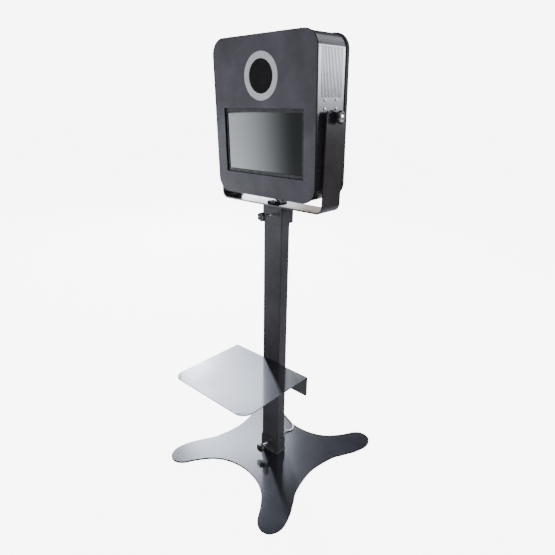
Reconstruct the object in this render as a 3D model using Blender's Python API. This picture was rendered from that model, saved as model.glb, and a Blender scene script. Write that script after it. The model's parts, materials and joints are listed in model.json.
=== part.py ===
"""Open-air photo booth on a column stand.

A flat cabinet (the head) holds a camera behind a ring light and a touch display. It hangs in a U-shaped
yoke, which turns on the collar at the top of a rectangular column. The column stands in a socket on an
X-shaped steel plate and carries a sheet-metal shelf.

Frame: metres, +Z up, origin on the floor at the column's centre line, the display faces -Y.
The head is modelled upright. Its pivot empty then leans it forward by HEAD_LEAN.
"""
import math

import bmesh
import bpy
from mathutils import Matrix, Vector

MM = 0.001
GAP = 0.3 * MM

# ---------------------------------------------------------------- driving dimensions
HEAD_WIDTH = 430 * MM
HEAD_HEIGHT = 490 * MM
HEAD_BOTTOM = 1097 * MM
HEAD_CORNER = 50 * MM
HEAD_FRONT = -83 * MM
HEAD_BACK = 78 * MM
HEAD_LEAN = math.radians(2.4)
TILT_HEIGHT = 1352 * MM

COLUMN_WIDTH = 85 * MM
COLUMN_DEPTH = 45 * MM
COLUMN_WALL = 2 * MM

PLATE_THICK = 8 * MM
SOCKET_TOP = 70 * MM
SHELF_WIDTH = 369 * MM
SHELF_DEPTH = 328 * MM
SHELF_HEIGHT = 446 * MM
SHELF_SHEET = 3 * MM
SHELF_FLANGE = 84 * MM

STRAP_UNDERSIDE = 1061 * MM
STRAP_SHEET = 5 * MM
STRAP_WIDTH = 95 * MM
YOKE_INSIDE = 224.5 * MM
YOKE_BEND = 26 * MM
YOKE_TOP = 1368 * MM

RING_HEIGHT = 1470 * MM
RING_OUTER = 70 * MM
RING_INNER = 50 * MM
SCREEN_LOW = 1170 * MM
SCREEN_HIGH = 1377 * MM
SCREEN_HALF = 171 * MM

CORD_RADIUS = 3 * MM

# ---------------------------------------------------------------- worked out from them
HEAD_TOP = HEAD_BOTTOM + HEAD_HEIGHT
HEAD_MIDDLE = (HEAD_BOTTOM + HEAD_TOP) / 2
COLUMN_FRONT = -COLUMN_DEPTH / 2
COLLAR_TOP = STRAP_UNDERSIDE - GAP
COLLAR_ROOF = 4 * MM
COLLAR_BOTTOM = 996 * MM
COLLAR_BACK = 38 * MM
COLUMN_TOP = COLLAR_TOP - COLLAR_ROOF - GAP
SLEEVE_WALL = 3 * MM
SLEEVE_PLAY = 0.6 * MM
STRAP_TOP = STRAP_UNDERSIDE + STRAP_SHEET
YOKE_OUTSIDE = YOKE_INSIDE + STRAP_SHEET

FACE_SHEET = 2 * MM
PANEL_BACK = HEAD_FRONT + 7 * MM
SHELL_FRONT = PANEL_BACK + 4.5 * MM
SHELL_INSET = 3 * MM
SHELL_SHEET = 2 * MM
SHELL_HALF = HEAD_WIDTH / 2 - SHELL_INSET
REAR_DEPTH = 14 * MM
REAR_FRONT = HEAD_BACK - REAR_DEPTH
REAR_SHEET = 2.5 * MM
DOOR_WIDTH = 370 * MM
DOOR_HEIGHT = 430 * MM
DOOR_CORNER = 30 * MM


# ---------------------------------------------------------------- materials
def material(name, colour, roughness, metallic):
    made = bpy.data.materials.new(name)
    made.use_nodes = True
    shader = made.node_tree.nodes["Principled BSDF"]
    shader.inputs["Base Color"].default_value = (*colour, 1.0)
    shader.inputs["Roughness"].default_value = roughness
    shader.inputs["Metallic"].default_value = metallic
    return made


# ---------------------------------------------------------------- shapes
def flat_point(axis, u, v, depth):
    """A point of the plane across an axis: u and v are the other two axes in X, Y, Z order."""
    if axis == "X":
        return Vector((depth, u, v))
    if axis == "Y":
        return Vector((u, depth, v))
    return Vector((u, v, depth))


def circle(radius, u=0.0, v=0.0, count=48):
    turn = 2 * math.pi / count
    return [(u + radius * math.cos(turn * k), v + radius * math.sin(turn * k)) for k in range(count)]


def rounded_rect(width, height, radius, u=0.0, v=0.0, steps=8):
    """Outline of a rectangle with round corners, counter-clockwise."""
    points = []
    corners = ((1, 1, 0), (-1, 1, 90), (-1, -1, 180), (1, -1, 270))
    for side_u, side_v, start in corners:
        centre_u = u + side_u * (width / 2 - radius)
        centre_v = v + side_v * (height / 2 - radius)
        for step in range(steps + 1):
            angle = math.radians(start + 90 * step / steps)
            points.append((centre_u + radius * math.cos(angle), centre_v + radius * math.sin(angle)))
    return points


def rect(low_u, high_u, low_v, high_v):
    return [(low_u, low_v), (high_u, low_v), (high_u, high_v), (low_u, high_v)]


def millimetres(pairs):
    """Pairs of numbers given in millimetres, in metres."""
    return [(first * MM, second * MM) for first, second in pairs]


def prism(loops, axis, low, high):
    """Outline loops, holes included, filled and extruded along an axis."""
    shape = bmesh.new()
    for loop in loops:
        ring = [shape.verts.new(flat_point(axis, u, v, low)) for u, v in loop]
        for first, second in zip(ring, ring[1:] + ring[:1]):
            shape.edges.new((first, second))
    bmesh.ops.triangle_fill(shape, use_beauty=True, edges=shape.edges[:])
    grown = bmesh.ops.extrude_face_region(shape, geom=shape.faces[:])
    moved = [item for item in grown["geom"] if isinstance(item, bmesh.types.BMVert)]
    bmesh.ops.translate(shape, verts=moved, vec=flat_point(axis, 0, 0, high - low))
    bmesh.ops.recalc_face_normals(shape, faces=shape.faces[:])
    return shape


def block(low, high):
    return prism([rect(low[0], high[0], low[1], high[1])], "Z", low[2], high[2])


def turned(profile, axis, at=(0, 0, 0), steps=32):
    """A profile of (radius, distance along the axis) turned about it.

    A profile that starts and ends on the axis makes a solid piece. Any other profile is a closed ring.
    """
    shape = bmesh.new()
    rows = []
    for radius, along in profile:
        count = steps if radius > 0 else 1
        ring = circle(radius, count=count) if radius > 0 else [(0.0, 0.0)]
        rows.append([shape.verts.new(flat_point(axis, u, v, along) + Vector(at)) for u, v in ring])
    pairs = list(zip(rows, rows[1:]))
    if profile[0][0] > 0:
        pairs.append((rows[-1], rows[0]))
    for low, high in pairs:
        for k in range(steps):
            after = (k + 1) % steps
            corners = [low[k % len(low)], low[after % len(low)], high[after % len(high)], high[k % len(high)]]
            shape.faces.new(list(dict.fromkeys(corners)))
    bmesh.ops.recalc_face_normals(shape, faces=shape.faces[:])
    return shape


def rod(radius, axis, low, high, at=(0, 0, 0), steps=24):
    return turned([(0, low), (radius, low), (radius, high), (0, high)], axis, at, steps)


def lofted(rings):
    """Rings of the same number of points, joined one to the next, with the first and last closed."""
    shape = bmesh.new()
    rows = [[shape.verts.new(point) for point in ring] for ring in rings]
    for low, high in zip(rows, rows[1:]):
        for k in range(len(low)):
            after = (k + 1) % len(low)
            shape.faces.new((low[k], low[after], high[after], high[k]))
    shape.faces.new(rows[0])
    shape.faces.new(rows[-1])
    bmesh.ops.recalc_face_normals(shape, faces=shape.faces[:])
    return shape


def merged(shapes):
    """Several shapes in one mesh, as a cutter with many teeth."""
    whole = bmesh.new()
    for shape in shapes:
        spare = bpy.data.meshes.new("spare")
        shape.to_mesh(spare)
        whole.from_mesh(spare)
        bpy.data.meshes.remove(spare)
        shape.free()
    return whole


# ---------------------------------------------------------------- objects
def pivot(name, at, parent=None, lean=0.0):
    """An empty on a joint's axis. It keeps its place in the upright drawing for the pieces on it."""
    empty = bpy.data.objects.new(name, None)
    bpy.context.scene.collection.objects.link(empty)
    start = Vector(parent["drawn_at"]) if parent else Vector((0, 0, 0))
    empty.parent = parent
    empty.location = Vector(at) - start
    empty.rotation_euler = (lean, 0, 0)
    empty["drawn_at"] = list(at)
    return empty


def piece(name, shape, look, parent=None, smooth=True):
    """One object from a shape drawn in upright coordinates."""
    start = Vector(parent["drawn_at"]) if parent else Vector((0, 0, 0))
    bmesh.ops.translate(shape, verts=shape.verts[:], vec=-start)
    mesh = bpy.data.meshes.new(name)
    shape.to_mesh(mesh)
    shape.free()
    if look:
        mesh.materials.append(look)
    if smooth:
        mesh.shade_smooth()
        mesh.set_sharp_from_angle(angle=math.radians(35))
    made = bpy.data.objects.new(name, mesh)
    bpy.context.scene.collection.objects.link(made)
    made.parent = parent
    return made


def change(target, shape, operation="DIFFERENCE"):
    """Cut a shape from an object, or add it to the object."""
    parent = target.parent
    number = len(target.modifiers)
    tool = piece(f"{target.name}_tool_{number}", shape, None, parent, smooth=False)
    tool.hide_render = True
    tool.display_type = "WIRE"
    modifier = target.modifiers.new(f"{operation.lower()}_{number}", "BOOLEAN")
    modifier.operation = operation
    modifier.object = tool
    modifier.solver = "EXACT"


def round_edges(shape, radius, steps, wanted):
    """Bevel the edges of a shape that a test picks by their two ends."""
    edges = [edge for edge in shape.edges if wanted(edge.verts[0].co, edge.verts[1].co)]
    bmesh.ops.bevel(shape, geom=edges, offset=radius, segments=steps, profile=0.5, affect="EDGES")


# ---------------------------------------------------------------- stand
# One quarter of the base plate's outline, from the side notch round a leg to the front notch.
LEG_QUARTER = ((207, 0), (226, 112), (252, 165), (281, 222), (296, 282), (280, 325),
               (246, 337), (212, 320), (178, 268), (136, 219), (80, 186))
FRONT_NOTCH = 172
OUTLINE_STEPS = 5


def smooth_loop(points, steps):
    """A closed curve through points, with the tangents of a Catmull-Rom spline."""
    loop = []
    count = len(points)
    for k in range(count):
        before, start, end, after = (Vector(points[(k + n) % count]) for n in (-1, 0, 1, 2))
        for step in range(steps):
            t = step / steps
            along = (end - before) * t
            bend = (2 * before - 5 * start + 4 * end - after) * t * t
            twist = (3 * start - before - 3 * end + after) * t ** 3
            point = start + (along + bend + twist) / 2
            loop.append((point.x, point.y))
    return loop


def base_outline():
    quarter = millimetres(LEG_QUARTER)
    notch = [(0.0, FRONT_NOTCH * MM)]
    first = quarter + notch
    second = [(-x, y) for x, y in reversed(quarter)]
    third = [(-x, -y) for x, y in quarter[1:]] + [(0.0, -FRONT_NOTCH * MM)]
    fourth = [(x, -y) for x, y in reversed(quarter[1:])]
    return smooth_loop(first + second + third + fourth, OUTLINE_STEPS)


KNOB_LOBES = 5
KNOB_POINTS = 40


def knob_shape(axis, side, start, at, width):
    """A five-lobed hand knob with a blind bore for its stud. It grows from start along the axis."""
    rings = []
    # distance from the knob's near end, mean radius, how deep the lobes are
    sections = ((9, 3.4, 0), (0, 3.4, 0), (0, 7, 0), (4, 8, 0), (6, 0.4 * width, 0.045 * width),
                (9, 0.445 * width, 0.055 * width), (17, 0.445 * width, 0.055 * width),
                (20, 0.4 * width, 0.045 * width))
    for along, mean, lobe in sections:
        ring = []
        for k in range(KNOB_POINTS):
            angle = 2 * math.pi * k / KNOB_POINTS
            radius = (mean + lobe * math.cos(KNOB_LOBES * angle)) * MM
            depth = start + side * along * MM
            point = flat_point(axis, radius * math.cos(angle), radius * math.sin(angle), depth)
            ring.append(point + Vector(at))
        rings.append(ring)
    return lofted(rings)


def hand_knob(name, axis, side, wall, stud_end, at, looks, parent, width=36, reach=40):
    """A knob and its chrome stud, which runs from stud_end out through the wall.

    A long stud carries a ferrule behind the knob.
    """
    start = wall / MM + side * reach
    turn = pivot(f"{name}_pivot", flat_point(axis, 0, 0, wall) + Vector(at), parent)
    piece(f"{name}_knob", knob_shape(axis, side, start * MM, at, width), looks["knob"], turn)
    profile = [(0, stud_end), (3, stud_end)]
    if reach > 20:
        near = start - side * 0.3
        profile += [(3, near - side * 12), (5.5, near - side * 12), (6.5, near - side * 10),
                    (6.5, near - side * 2), (5.5, near), (3, near)]
    profile += [(3, start + side * 8.5), (0, start + side * 8.5)]
    piece(f"{name}_stud", turned(millimetres(profile), axis, at, 20), looks["chrome"], turn)


def build_stand(looks):
    plate = prism([base_outline()], "Z", 0, PLATE_THICK)
    piece("base_plate", plate, looks["paint"])

    inner = (COLUMN_WIDTH + 2 * SLEEVE_PLAY, COLUMN_DEPTH + 2 * SLEEVE_PLAY)
    outer = tuple(size + 2 * SLEEVE_WALL for size in inner)
    sleeve = [rounded_rect(*outer, 5 * MM, steps=3), rounded_rect(*inner, 3.5 * MM, steps=3)]
    socket = piece("base_socket", prism(sleeve, "Z", PLATE_THICK + GAP, SOCKET_TOP), looks["paint"])
    knob_height = 49 * MM
    socket_face = -outer[1] / 2
    change(socket, rod(3.4 * MM, "Y", socket_face - 10 * MM, 0, (0, 0, knob_height)))
    hand_knob("base_clamp", "Y", -1, socket_face, (COLUMN_FRONT - GAP) / MM, (0, 0, knob_height), looks, None)

    tube = [rounded_rect(COLUMN_WIDTH, COLUMN_DEPTH, 4 * MM, steps=3),
            rounded_rect(COLUMN_WIDTH - 2 * COLUMN_WALL, COLUMN_DEPTH - 2 * COLUMN_WALL, 2 * MM, steps=3)]
    column = piece("column", prism(tube, "Z", PLATE_THICK + GAP, COLUMN_TOP), looks["paint"])
    build_shelf(column, looks)
    build_cord(column, looks)


def build_shelf(column, looks):
    """One sheet bent down at the back, with four screws into the column's front wall."""
    front_face = COLUMN_FRONT - GAP
    back = front_face - SHELF_SHEET
    front = back - SHELF_DEPTH
    low = SHELF_HEIGHT - SHELF_FLANGE
    top = SHELF_HEIGHT
    sheet = SHELF_SHEET
    bend = 5 * MM
    arc = [math.radians(90 * step / 4) for step in range(5)]
    outside = [(front_face - bend + bend * math.sin(a), top - bend + bend * math.cos(a)) for a in arc]
    inside = [(front_face - bend + (bend - sheet) * math.sin(a), top - bend + (bend - sheet) * math.cos(a))
              for a in reversed(arc)]
    outline = [(front, top)] + outside + [(front_face, low), (back, low)] + inside + [(front, top - sheet)]
    shape = prism([outline], "X", -SHELF_WIDTH / 2, SHELF_WIDTH / 2)
    half = SHELF_WIDTH / 2 - MM

    def front_corner(a, b):
        upright = abs(a.x - b.x) < MM and abs(a.y - b.y) < MM
        return upright and abs(a.x) > half and a.y < front + MM

    def flange_corner(a, b):
        through = abs(a.x - b.x) < MM and abs(a.z - b.z) < MM
        return through and abs(a.x) > half and a.z < low + MM

    round_edges(shape, 40 * MM, 8, front_corner)
    round_edges(shape, 10 * MM, 4, flange_corner)
    shelf = piece("shelf", shape, looks["paint"])
    holes = []
    for row, height in (("upper", top - 28 * MM), ("lower", low + 22 * MM)):
        for side, name in ((-1, "left"), (1, "right")):
            at = (side * 26 * MM, 0, height)
            seat = back / MM - 0.3
            profile = [(0, -17), (2.9, -17), (2.9, seat), (5.5, seat), (5.5, seat - 2.7), (4, seat - 4.2),
                       (0, seat - 4.2)]
            piece(f"shelf_screw_{row}_{name}", turned(millimetres(profile), "Y", at, 12), looks["zinc"])
            holes.append(rod(3.3 * MM, "Y", back - 5 * MM, -15 * MM, at, 12))
    change(shelf, merged([hole.copy() for hole in holes]))
    change(column, merged(holes))


# ---------------------------------------------------------------- mains lead
GLAND_AT = (-20 * MM, COLUMN_DEPTH / 2, 92 * MM)
GLAND_REACH = 26 * MM
COIL_AT = (-138 * MM, 158 * MM)
COIL_OUTER = 44 * MM
COIL_INNER = 26 * MM
COIL_LOW = PLATE_THICK + GAP
COIL_HIGH = COIL_LOW + 18.5 * MM
# The lead drops from the gland to the base plate, turns on it and comes to the coil behind the column.
# Its points are in millimetres, and 11.3 is the height of its centre line where it lies on the plate.
CORD_ROUTE = ((-20, 32, 92), (-20, 48, 92), (-20.3, 61.5, 89.5), (-21.5, 73, 82), (-23.5, 81, 70.5),
              (-25.5, 85.5, 57), (-27, 89, 43.5), (-27.2, 94, 31.5), (-25, 101, 21.5), (-20.5, 109, 15),
              (-14.5, 117.5, 12), (-9.8, 127.5, 11.3), (-8.5, 139, 11.3), (-12, 150.5, 11.3), (-20, 160, 11.3),
              (-30, 167, 11.3), (-42, 172.5, 11.3), (-54, 177.5, 11.3), (-67, 182, 11.3), (-80, 186.5, 11.3),
              (-93, 191, 11.3), (-107, 195.5, 11.3))
TAIL_ROUTE = ((-162, 201.3, 22.2), (-168.5, 203.6, 20.2), (-174.5, 207.2, 18), (-180, 212.1, 16.4),
              (-185, 217.6, 15.8))
PLUG_AT = (-185.4, 218.1, 15.8)
PLUG_TURN = math.radians(42)


def cord_path(route, spacing):
    """Evenly spaced points on a smooth curve through the route's points."""
    points = [Vector(point) * MM for point in route]
    ends = [2 * points[0] - points[1]] + points + [2 * points[-1] - points[-2]]
    dense = []
    for k in range(1, len(ends) - 2):
        before, start, end, after = ends[k - 1:k + 3]
        for step in range(12):
            t = step / 12
            along = (end - before) * t
            bend = (2 * before - 5 * start + 4 * end - after) * t * t
            twist = (3 * start - before - 3 * end + after) * t ** 3
            dense.append(start + (along + bend + twist) / 2)
    dense.append(points[-1])
    lengths = [0.0]
    for first, second in zip(dense, dense[1:]):
        lengths.append(lengths[-1] + (second - first).length)
    count = max(3, round(lengths[-1] / spacing) + 1)
    path = []
    place = 0
    for k in range(count):
        target = lengths[-1] * k / (count - 1)
        while place < len(lengths) - 2 and lengths[place + 1] < target:
            place += 1
        part = (target - lengths[place]) / (lengths[place + 1] - lengths[place])
        path.append(dense[place].lerp(dense[place + 1], part))
    return path


def cord_tube(name, path, look):
    curve = bpy.data.curves.new(name, "CURVE")
    curve.dimensions = "3D"
    curve.bevel_depth = CORD_RADIUS
    curve.bevel_resolution = 2
    curve.use_fill_caps = True
    spline = curve.splines.new("POLY")
    spline.points.add(len(path) - 1)
    for point, place in zip(spline.points, path):
        point.co = (*place, 1)
    curve.materials.append(look)
    made = bpy.data.objects.new(name, curve)
    bpy.context.scene.collection.objects.link(made)


def build_cord(column, looks):
    """Gland, lead, coil with its tie, and plug, all lying behind the column."""
    wall = GLAND_AT[1]
    inside = wall - COLUMN_WALL
    at = (GLAND_AT[0], 0, GLAND_AT[2])
    bore = CORD_RADIUS + GAP
    lip = inside - 2 * MM
    tip = wall + GLAND_REACH
    gland = [(bore, lip), (8 * MM, lip), (8 * MM, inside - GAP), (5.8 * MM, inside - GAP), (5.8 * MM, wall + GAP),
             (9 * MM, wall + GAP), (8.5 * MM, wall + 3 * MM), (6.2 * MM, wall + 5 * MM), (bore + 1.2 * MM, tip),
             (bore, tip)]
    piece("cord_gland", turned(gland, "Y", at, 20), looks["white"])
    change(column, rod(6.2 * MM, "Y", inside - 3 * MM, wall + 3 * MM, at, 20))

    cord_tube("power_cord", cord_path(CORD_ROUTE, 5 * CORD_RADIUS), looks["white"])
    cord_tube("cord_tail", cord_path(TAIL_ROUTE, 4 * CORD_RADIUS), looks["white"])
    blunt = CORD_RADIUS
    ring = [(COIL_INNER, COIL_LOW + blunt), (COIL_INNER + blunt, COIL_LOW),
            (COIL_OUTER - blunt, COIL_LOW), (COIL_OUTER, COIL_LOW + blunt),
            (COIL_OUTER, COIL_HIGH - blunt), (COIL_OUTER - blunt, COIL_HIGH),
            (COIL_INNER + blunt, COIL_HIGH), (COIL_INNER, COIL_HIGH - blunt)]
    piece("cord_coil", turned(ring, "Z", (*COIL_AT, 0), 32), looks["white"])

    # The plug lies on the plate, its pins pointing away from the coil.
    sections = ((0, 8, 8), (3, 11, 10), (14, 17, 13), (22, 24, 14.5), (36, 25, 14.5), (38, 23.5, 13))
    rings = []
    for along, wide, tall in sections:
        outline = rounded_rect(wide * MM, tall * MM, 0.4 * tall * MM, steps=3)
        rings.append([(x, along * MM, z) for x, z in outline])
    plug = piece("mains_plug", turn_flat(lofted(rings)), looks["white"])
    for side in (-1, 1):
        change(plug, turn_flat(rod(2.2 * MM, "Y", 30 * MM, 56 * MM, (side * 9.5 * MM, 0, 0), 12)), "UNION")


def turn_flat(shape):
    """Turn a shape drawn along +Y to the plug's direction and carry it to the plug's place."""
    bmesh.ops.rotate(shape, verts=shape.verts[:], matrix=Matrix.Rotation(PLUG_TURN, 3, "Z"))
    bmesh.ops.translate(shape, verts=shape.verts[:], vec=Vector(PLUG_AT) * MM)
    return shape


# ---------------------------------------------------------------- collar and yoke
def build_collar(looks):
    """A cap over the column's top, deeper at the back, where the head's cables come up."""
    place = pivot("collar_pivot", (0, 0, COLLAR_TOP))
    half = COLUMN_WIDTH / 2 + SLEEVE_PLAY
    front = COLUMN_FRONT - SLEEVE_PLAY
    back = COLLAR_BACK - SLEEVE_WALL
    middle = (front + back) / 2
    inner = rounded_rect(2 * half, back - front, 3 * MM, 0, middle, 3)
    outer = rounded_rect(2 * (half + SLEEVE_WALL), back - front + 2 * SLEEVE_WALL, 5 * MM, 0, middle, 3)
    collar = piece("top_collar", prism([outer], "Z", COLLAR_BOTTOM, COLLAR_TOP), looks["paint"], place)
    change(collar, prism([inner], "Z", COLLAR_BOTTOM - MM, COLLAR_TOP - COLLAR_ROOF))
    change(collar, rod(BOLT_RADIUS + GAP, "Z", COLLAR_TOP - 10 * MM, COLLAR_TOP + 5 * MM))
    wall = front - SLEEVE_WALL
    knob_height = 1027 * MM
    change(collar, rod(3.4 * MM, "Y", wall - 5 * MM, front + 5 * MM, (0, 0, knob_height)))
    hand_knob("collar_clamp", "Y", -1, wall, (COLUMN_FRONT - GAP) / MM, (0, 0, knob_height), looks, place, 33)
    return place


BOLT_RADIUS = 5 * MM
DISC_RADIUS = 35 * MM
DISC_THICK = 3 * MM
NUT_TALL = 7 * MM


def build_yoke(looks, collar):
    """A strap bent into a U, clamped to the collar by one bolt with a friction disc under its nut."""
    place = pivot("pan_pivot", (0, 0, STRAP_UNDERSIDE), collar)
    centre = (YOKE_OUTSIDE - YOKE_BEND, STRAP_UNDERSIDE + YOKE_BEND)
    arc = [math.radians(90 * step / 8) for step in range(9)]
    outer = [(centre[0] + YOKE_BEND * math.sin(a), centre[1] - YOKE_BEND * math.cos(a)) for a in arc]
    small = YOKE_BEND - STRAP_SHEET
    inner = [(centre[0] + small * math.sin(a), centre[1] - small * math.cos(a)) for a in arc]
    right = outer + [(YOKE_OUTSIDE, YOKE_TOP), (YOKE_INSIDE, YOKE_TOP)] + list(reversed(inner))
    left = [(-x, z) for x, z in reversed(right)]
    shape = prism([right + left], "Y", -STRAP_WIDTH / 2, STRAP_WIDTH / 2)

    def arm_corner(a, b):
        across = abs(a.y - b.y) < MM and abs(a.z - b.z) < MM
        return across and a.z > YOKE_TOP - MM

    round_edges(shape, 14 * MM, 5, arm_corner)
    yoke = piece("yoke", shape, looks["paint"], place)
    holes = [rod(4.3 * MM, "X", -YOKE_OUTSIDE - MM, -YOKE_INSIDE + MM, (0, 0, TILT_HEIGHT)),
             rod(4.3 * MM, "X", YOKE_INSIDE - MM, YOKE_OUTSIDE + MM, (0, 0, TILT_HEIGHT)),
             rod(BOLT_RADIUS + GAP, "Z", STRAP_UNDERSIDE - MM, STRAP_TOP + MM)]
    change(yoke, merged(holes))

    disc_low = STRAP_TOP + GAP
    bore = BOLT_RADIUS + GAP
    disc_high = disc_low + DISC_THICK
    disc = [(bore, disc_low), (DISC_RADIUS, disc_low), (DISC_RADIUS, disc_high), (bore, disc_high)]
    piece("friction_disc", turned(disc, "Z", steps=40), looks["rubber"], place)
    nut_low = disc_high + GAP
    nut = [circle(9.8 * MM, count=6), circle(bore, count=18)]
    piece("pan_nut", prism(nut, "Z", nut_low, nut_low + NUT_TALL), looks["zinc"], place, smooth=False)
    head_low = COLLAR_TOP - COLLAR_ROOF - GAP - 6 * MM
    bolt = [(0, head_low), (9 * MM, head_low), (9 * MM, head_low + 6 * MM), (BOLT_RADIUS, head_low + 6 * MM),
            (BOLT_RADIUS, 1080.5 * MM), (4.2 * MM, 1081.5 * MM), (0, 1081.5 * MM)]
    piece("pan_bolt", turned(bolt, "Z", steps=18), looks["zinc"], place)
    return place


# ---------------------------------------------------------------- head
def head_outline(shrink, radius):
    return rounded_rect(HEAD_WIDTH - 2 * shrink, HEAD_HEIGHT - 2 * shrink, radius, 0, HEAD_MIDDLE, 10)


SCREEN_MIDDLE = (SCREEN_LOW + SCREEN_HIGH) / 2
SCREEN_TALL = SCREEN_HIGH - SCREEN_LOW
VISIBLE_WIDTH = 324 * MM
VISIBLE_TALL = 184 * MM
GLASS_FRONT = PANEL_BACK + 0.4 * MM
GLASS_THICK = 3 * MM
BEZEL_THICK = 1.8 * MM
DISPLAY_THICK = 10 * MM


def build_front(looks, head):
    """Folded front panel with the ring light, the camera window and the display behind it."""
    hole = circle(RING_OUTER + GAP, 0, RING_HEIGHT, 56)
    opening = rounded_rect(2 * SCREEN_HALF, SCREEN_TALL, 2 * MM, 0, SCREEN_MIDDLE, 2)
    shape = prism([head_outline(0, HEAD_CORNER), hole, opening], "Y", HEAD_FRONT, PANEL_BACK)
    panel = piece("front_panel", shape, looks["paint"], head)
    fold = 2.5 * MM
    face = HEAD_FRONT + FACE_SHEET
    rim_width = 2 * (SCREEN_HALF + FACE_SHEET)
    rim = rounded_rect(rim_width, SCREEN_TALL + 2 * FACE_SHEET, 4 * MM, 0, SCREEN_MIDDLE, 2)
    change(panel, prism([head_outline(fold, HEAD_CORNER - fold), rim], "Y", face, PANEL_BACK + MM))
    seal = [head_outline(6 * MM, HEAD_CORNER - 6 * MM), head_outline(18 * MM, HEAD_CORNER - 18 * MM)]
    piece("front_seal", prism(seal, "Y", face + GAP, SHELL_FRONT - GAP), looks["rubber"], head)

    centre = (0, 0, RING_HEIGHT)
    proud = HEAD_FRONT - 0.5 * MM
    lip = RING_OUTER + 4 * MM
    diffuser_back = face + 2.5 * MM
    diffuser = [(RING_INNER, proud), (RING_OUTER, proud), (RING_OUTER, face + GAP), (lip, face + GAP),
                (lip, diffuser_back), (RING_INNER, diffuser_back)]
    piece("ring_diffuser", turned(diffuser, "Y", centre, 56), looks["diffuser"], head)
    board_low = diffuser_back + GAP
    board = [(RING_INNER + 2 * MM, board_low), (RING_OUTER + 3 * MM, board_low),
             (RING_OUTER + 3 * MM, board_low + 1.6 * MM), (RING_INNER + 2 * MM, board_low + 1.6 * MM)]
    piece("led_ring_board", turned(board, "Y", centre, 40), looks["board"], head)
    window = rod(RING_INNER - GAP, "Y", HEAD_FRONT + 0.8 * MM, HEAD_FRONT + 3.3 * MM, centre, 48)
    piece("camera_window", window, looks["dark_glass"], head)
    bezel = [rounded_rect(2 * (SCREEN_HALF - GAP), SCREEN_TALL - 2 * GAP, 1.7 * MM, 0, SCREEN_MIDDLE, 2),
             rounded_rect(VISIBLE_WIDTH, VISIBLE_TALL, 1.5 * MM, 0, SCREEN_MIDDLE, 2)]
    bezel_back = GLASS_FRONT - GAP
    piece("screen_bezel", prism(bezel, "Y", bezel_back - BEZEL_THICK, bezel_back), looks["black"], head)
    glass = rounded_rect(2 * SCREEN_HALF + 10 * MM, SCREEN_TALL + 10 * MM, 3 * MM, 0, SCREEN_MIDDLE, 2)
    piece("touch_glass", prism([glass], "Y", GLASS_FRONT, GLASS_FRONT + GLASS_THICK), looks["screen"], head)
    panel_low = GLASS_FRONT + GLASS_THICK + GAP
    display = rounded_rect(2 * SCREEN_HALF + 6 * MM, SCREEN_TALL + 4 * MM, 3 * MM, 0, SCREEN_MIDDLE, 2)
    piece("display_module", prism([display], "Y", panel_low, panel_low + DISPLAY_THICK), looks["black"], head)
    back = panel_low + DISPLAY_THICK + GAP
    height = SCREEN_HIGH + 2 * MM
    foot = PANEL_BACK + 0.4 * MM
    outline = [(back + 2 * MM, height - 25 * MM), (back + 2 * MM, height + 8 * MM), (foot, height + 8 * MM),
               (foot, height + 6 * MM), (back, height + 6 * MM), (back, height - 25 * MM)]
    shape = prism([outline], "X", -150 * MM, 150 * MM)
    piece("display_bracket", shape, looks["zinc"], head, smooth=False)


VENT_COUNT = 15
VENT_PITCH = 7.2 * MM
VENT_WIDE = 2.2 * MM
VENT_MIDDLE = -5 * MM
VENT_LOW = 1407 * MM
VENT_HIGH = 1541 * MM
SIDE_SCREW_Y = (-37 * MM, 20 * MM)
SIDE_SCREW_Z = (1376 * MM, 1400 * MM)
SPACER_RADIUS = 20 * MM


def build_shell(looks, head):
    """Side band of the cabinet, with upright vent slots high on both sides."""
    back = HEAD_BACK - REAR_SHEET - GAP
    outer = head_outline(SHELL_INSET, HEAD_CORNER - SHELL_INSET)
    inner = head_outline(SHELL_INSET + SHELL_SHEET, HEAD_CORNER - SHELL_INSET - SHELL_SHEET)
    shell = piece("shell_band", prism([outer, inner], "Y", SHELL_FRONT, back), looks["paint"], head)
    slots = []
    for k in range(VENT_COUNT):
        middle = VENT_MIDDLE + (k - (VENT_COUNT - 1) / 2) * VENT_PITCH
        low = (-HEAD_WIDTH / 2, middle - VENT_WIDE / 2, VENT_LOW)
        high = (HEAD_WIDTH / 2, middle + VENT_WIDE / 2, VENT_HIGH)
        slots.append(block(low, high))
    change(shell, merged(slots))
    inside = SHELL_HALF - SHELL_SHEET
    holes = []
    for side in (-1, 1):
        near, far = sorted((side * (inside - 5 * MM), side * (SHELL_HALF + 5 * MM)))
        holes.append(rod(4.3 * MM, "X", near, far, (0, 0, TILT_HEIGHT), 16))
        if side > 0:
            for y in SIDE_SCREW_Y:
                holes += [rod(2.3 * MM, "X", near, far, (0, y, z), 10) for z in SIDE_SCREW_Z]
    change(shell, merged(holes))

    build_camera_shelf(looks, head, inside)


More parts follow.
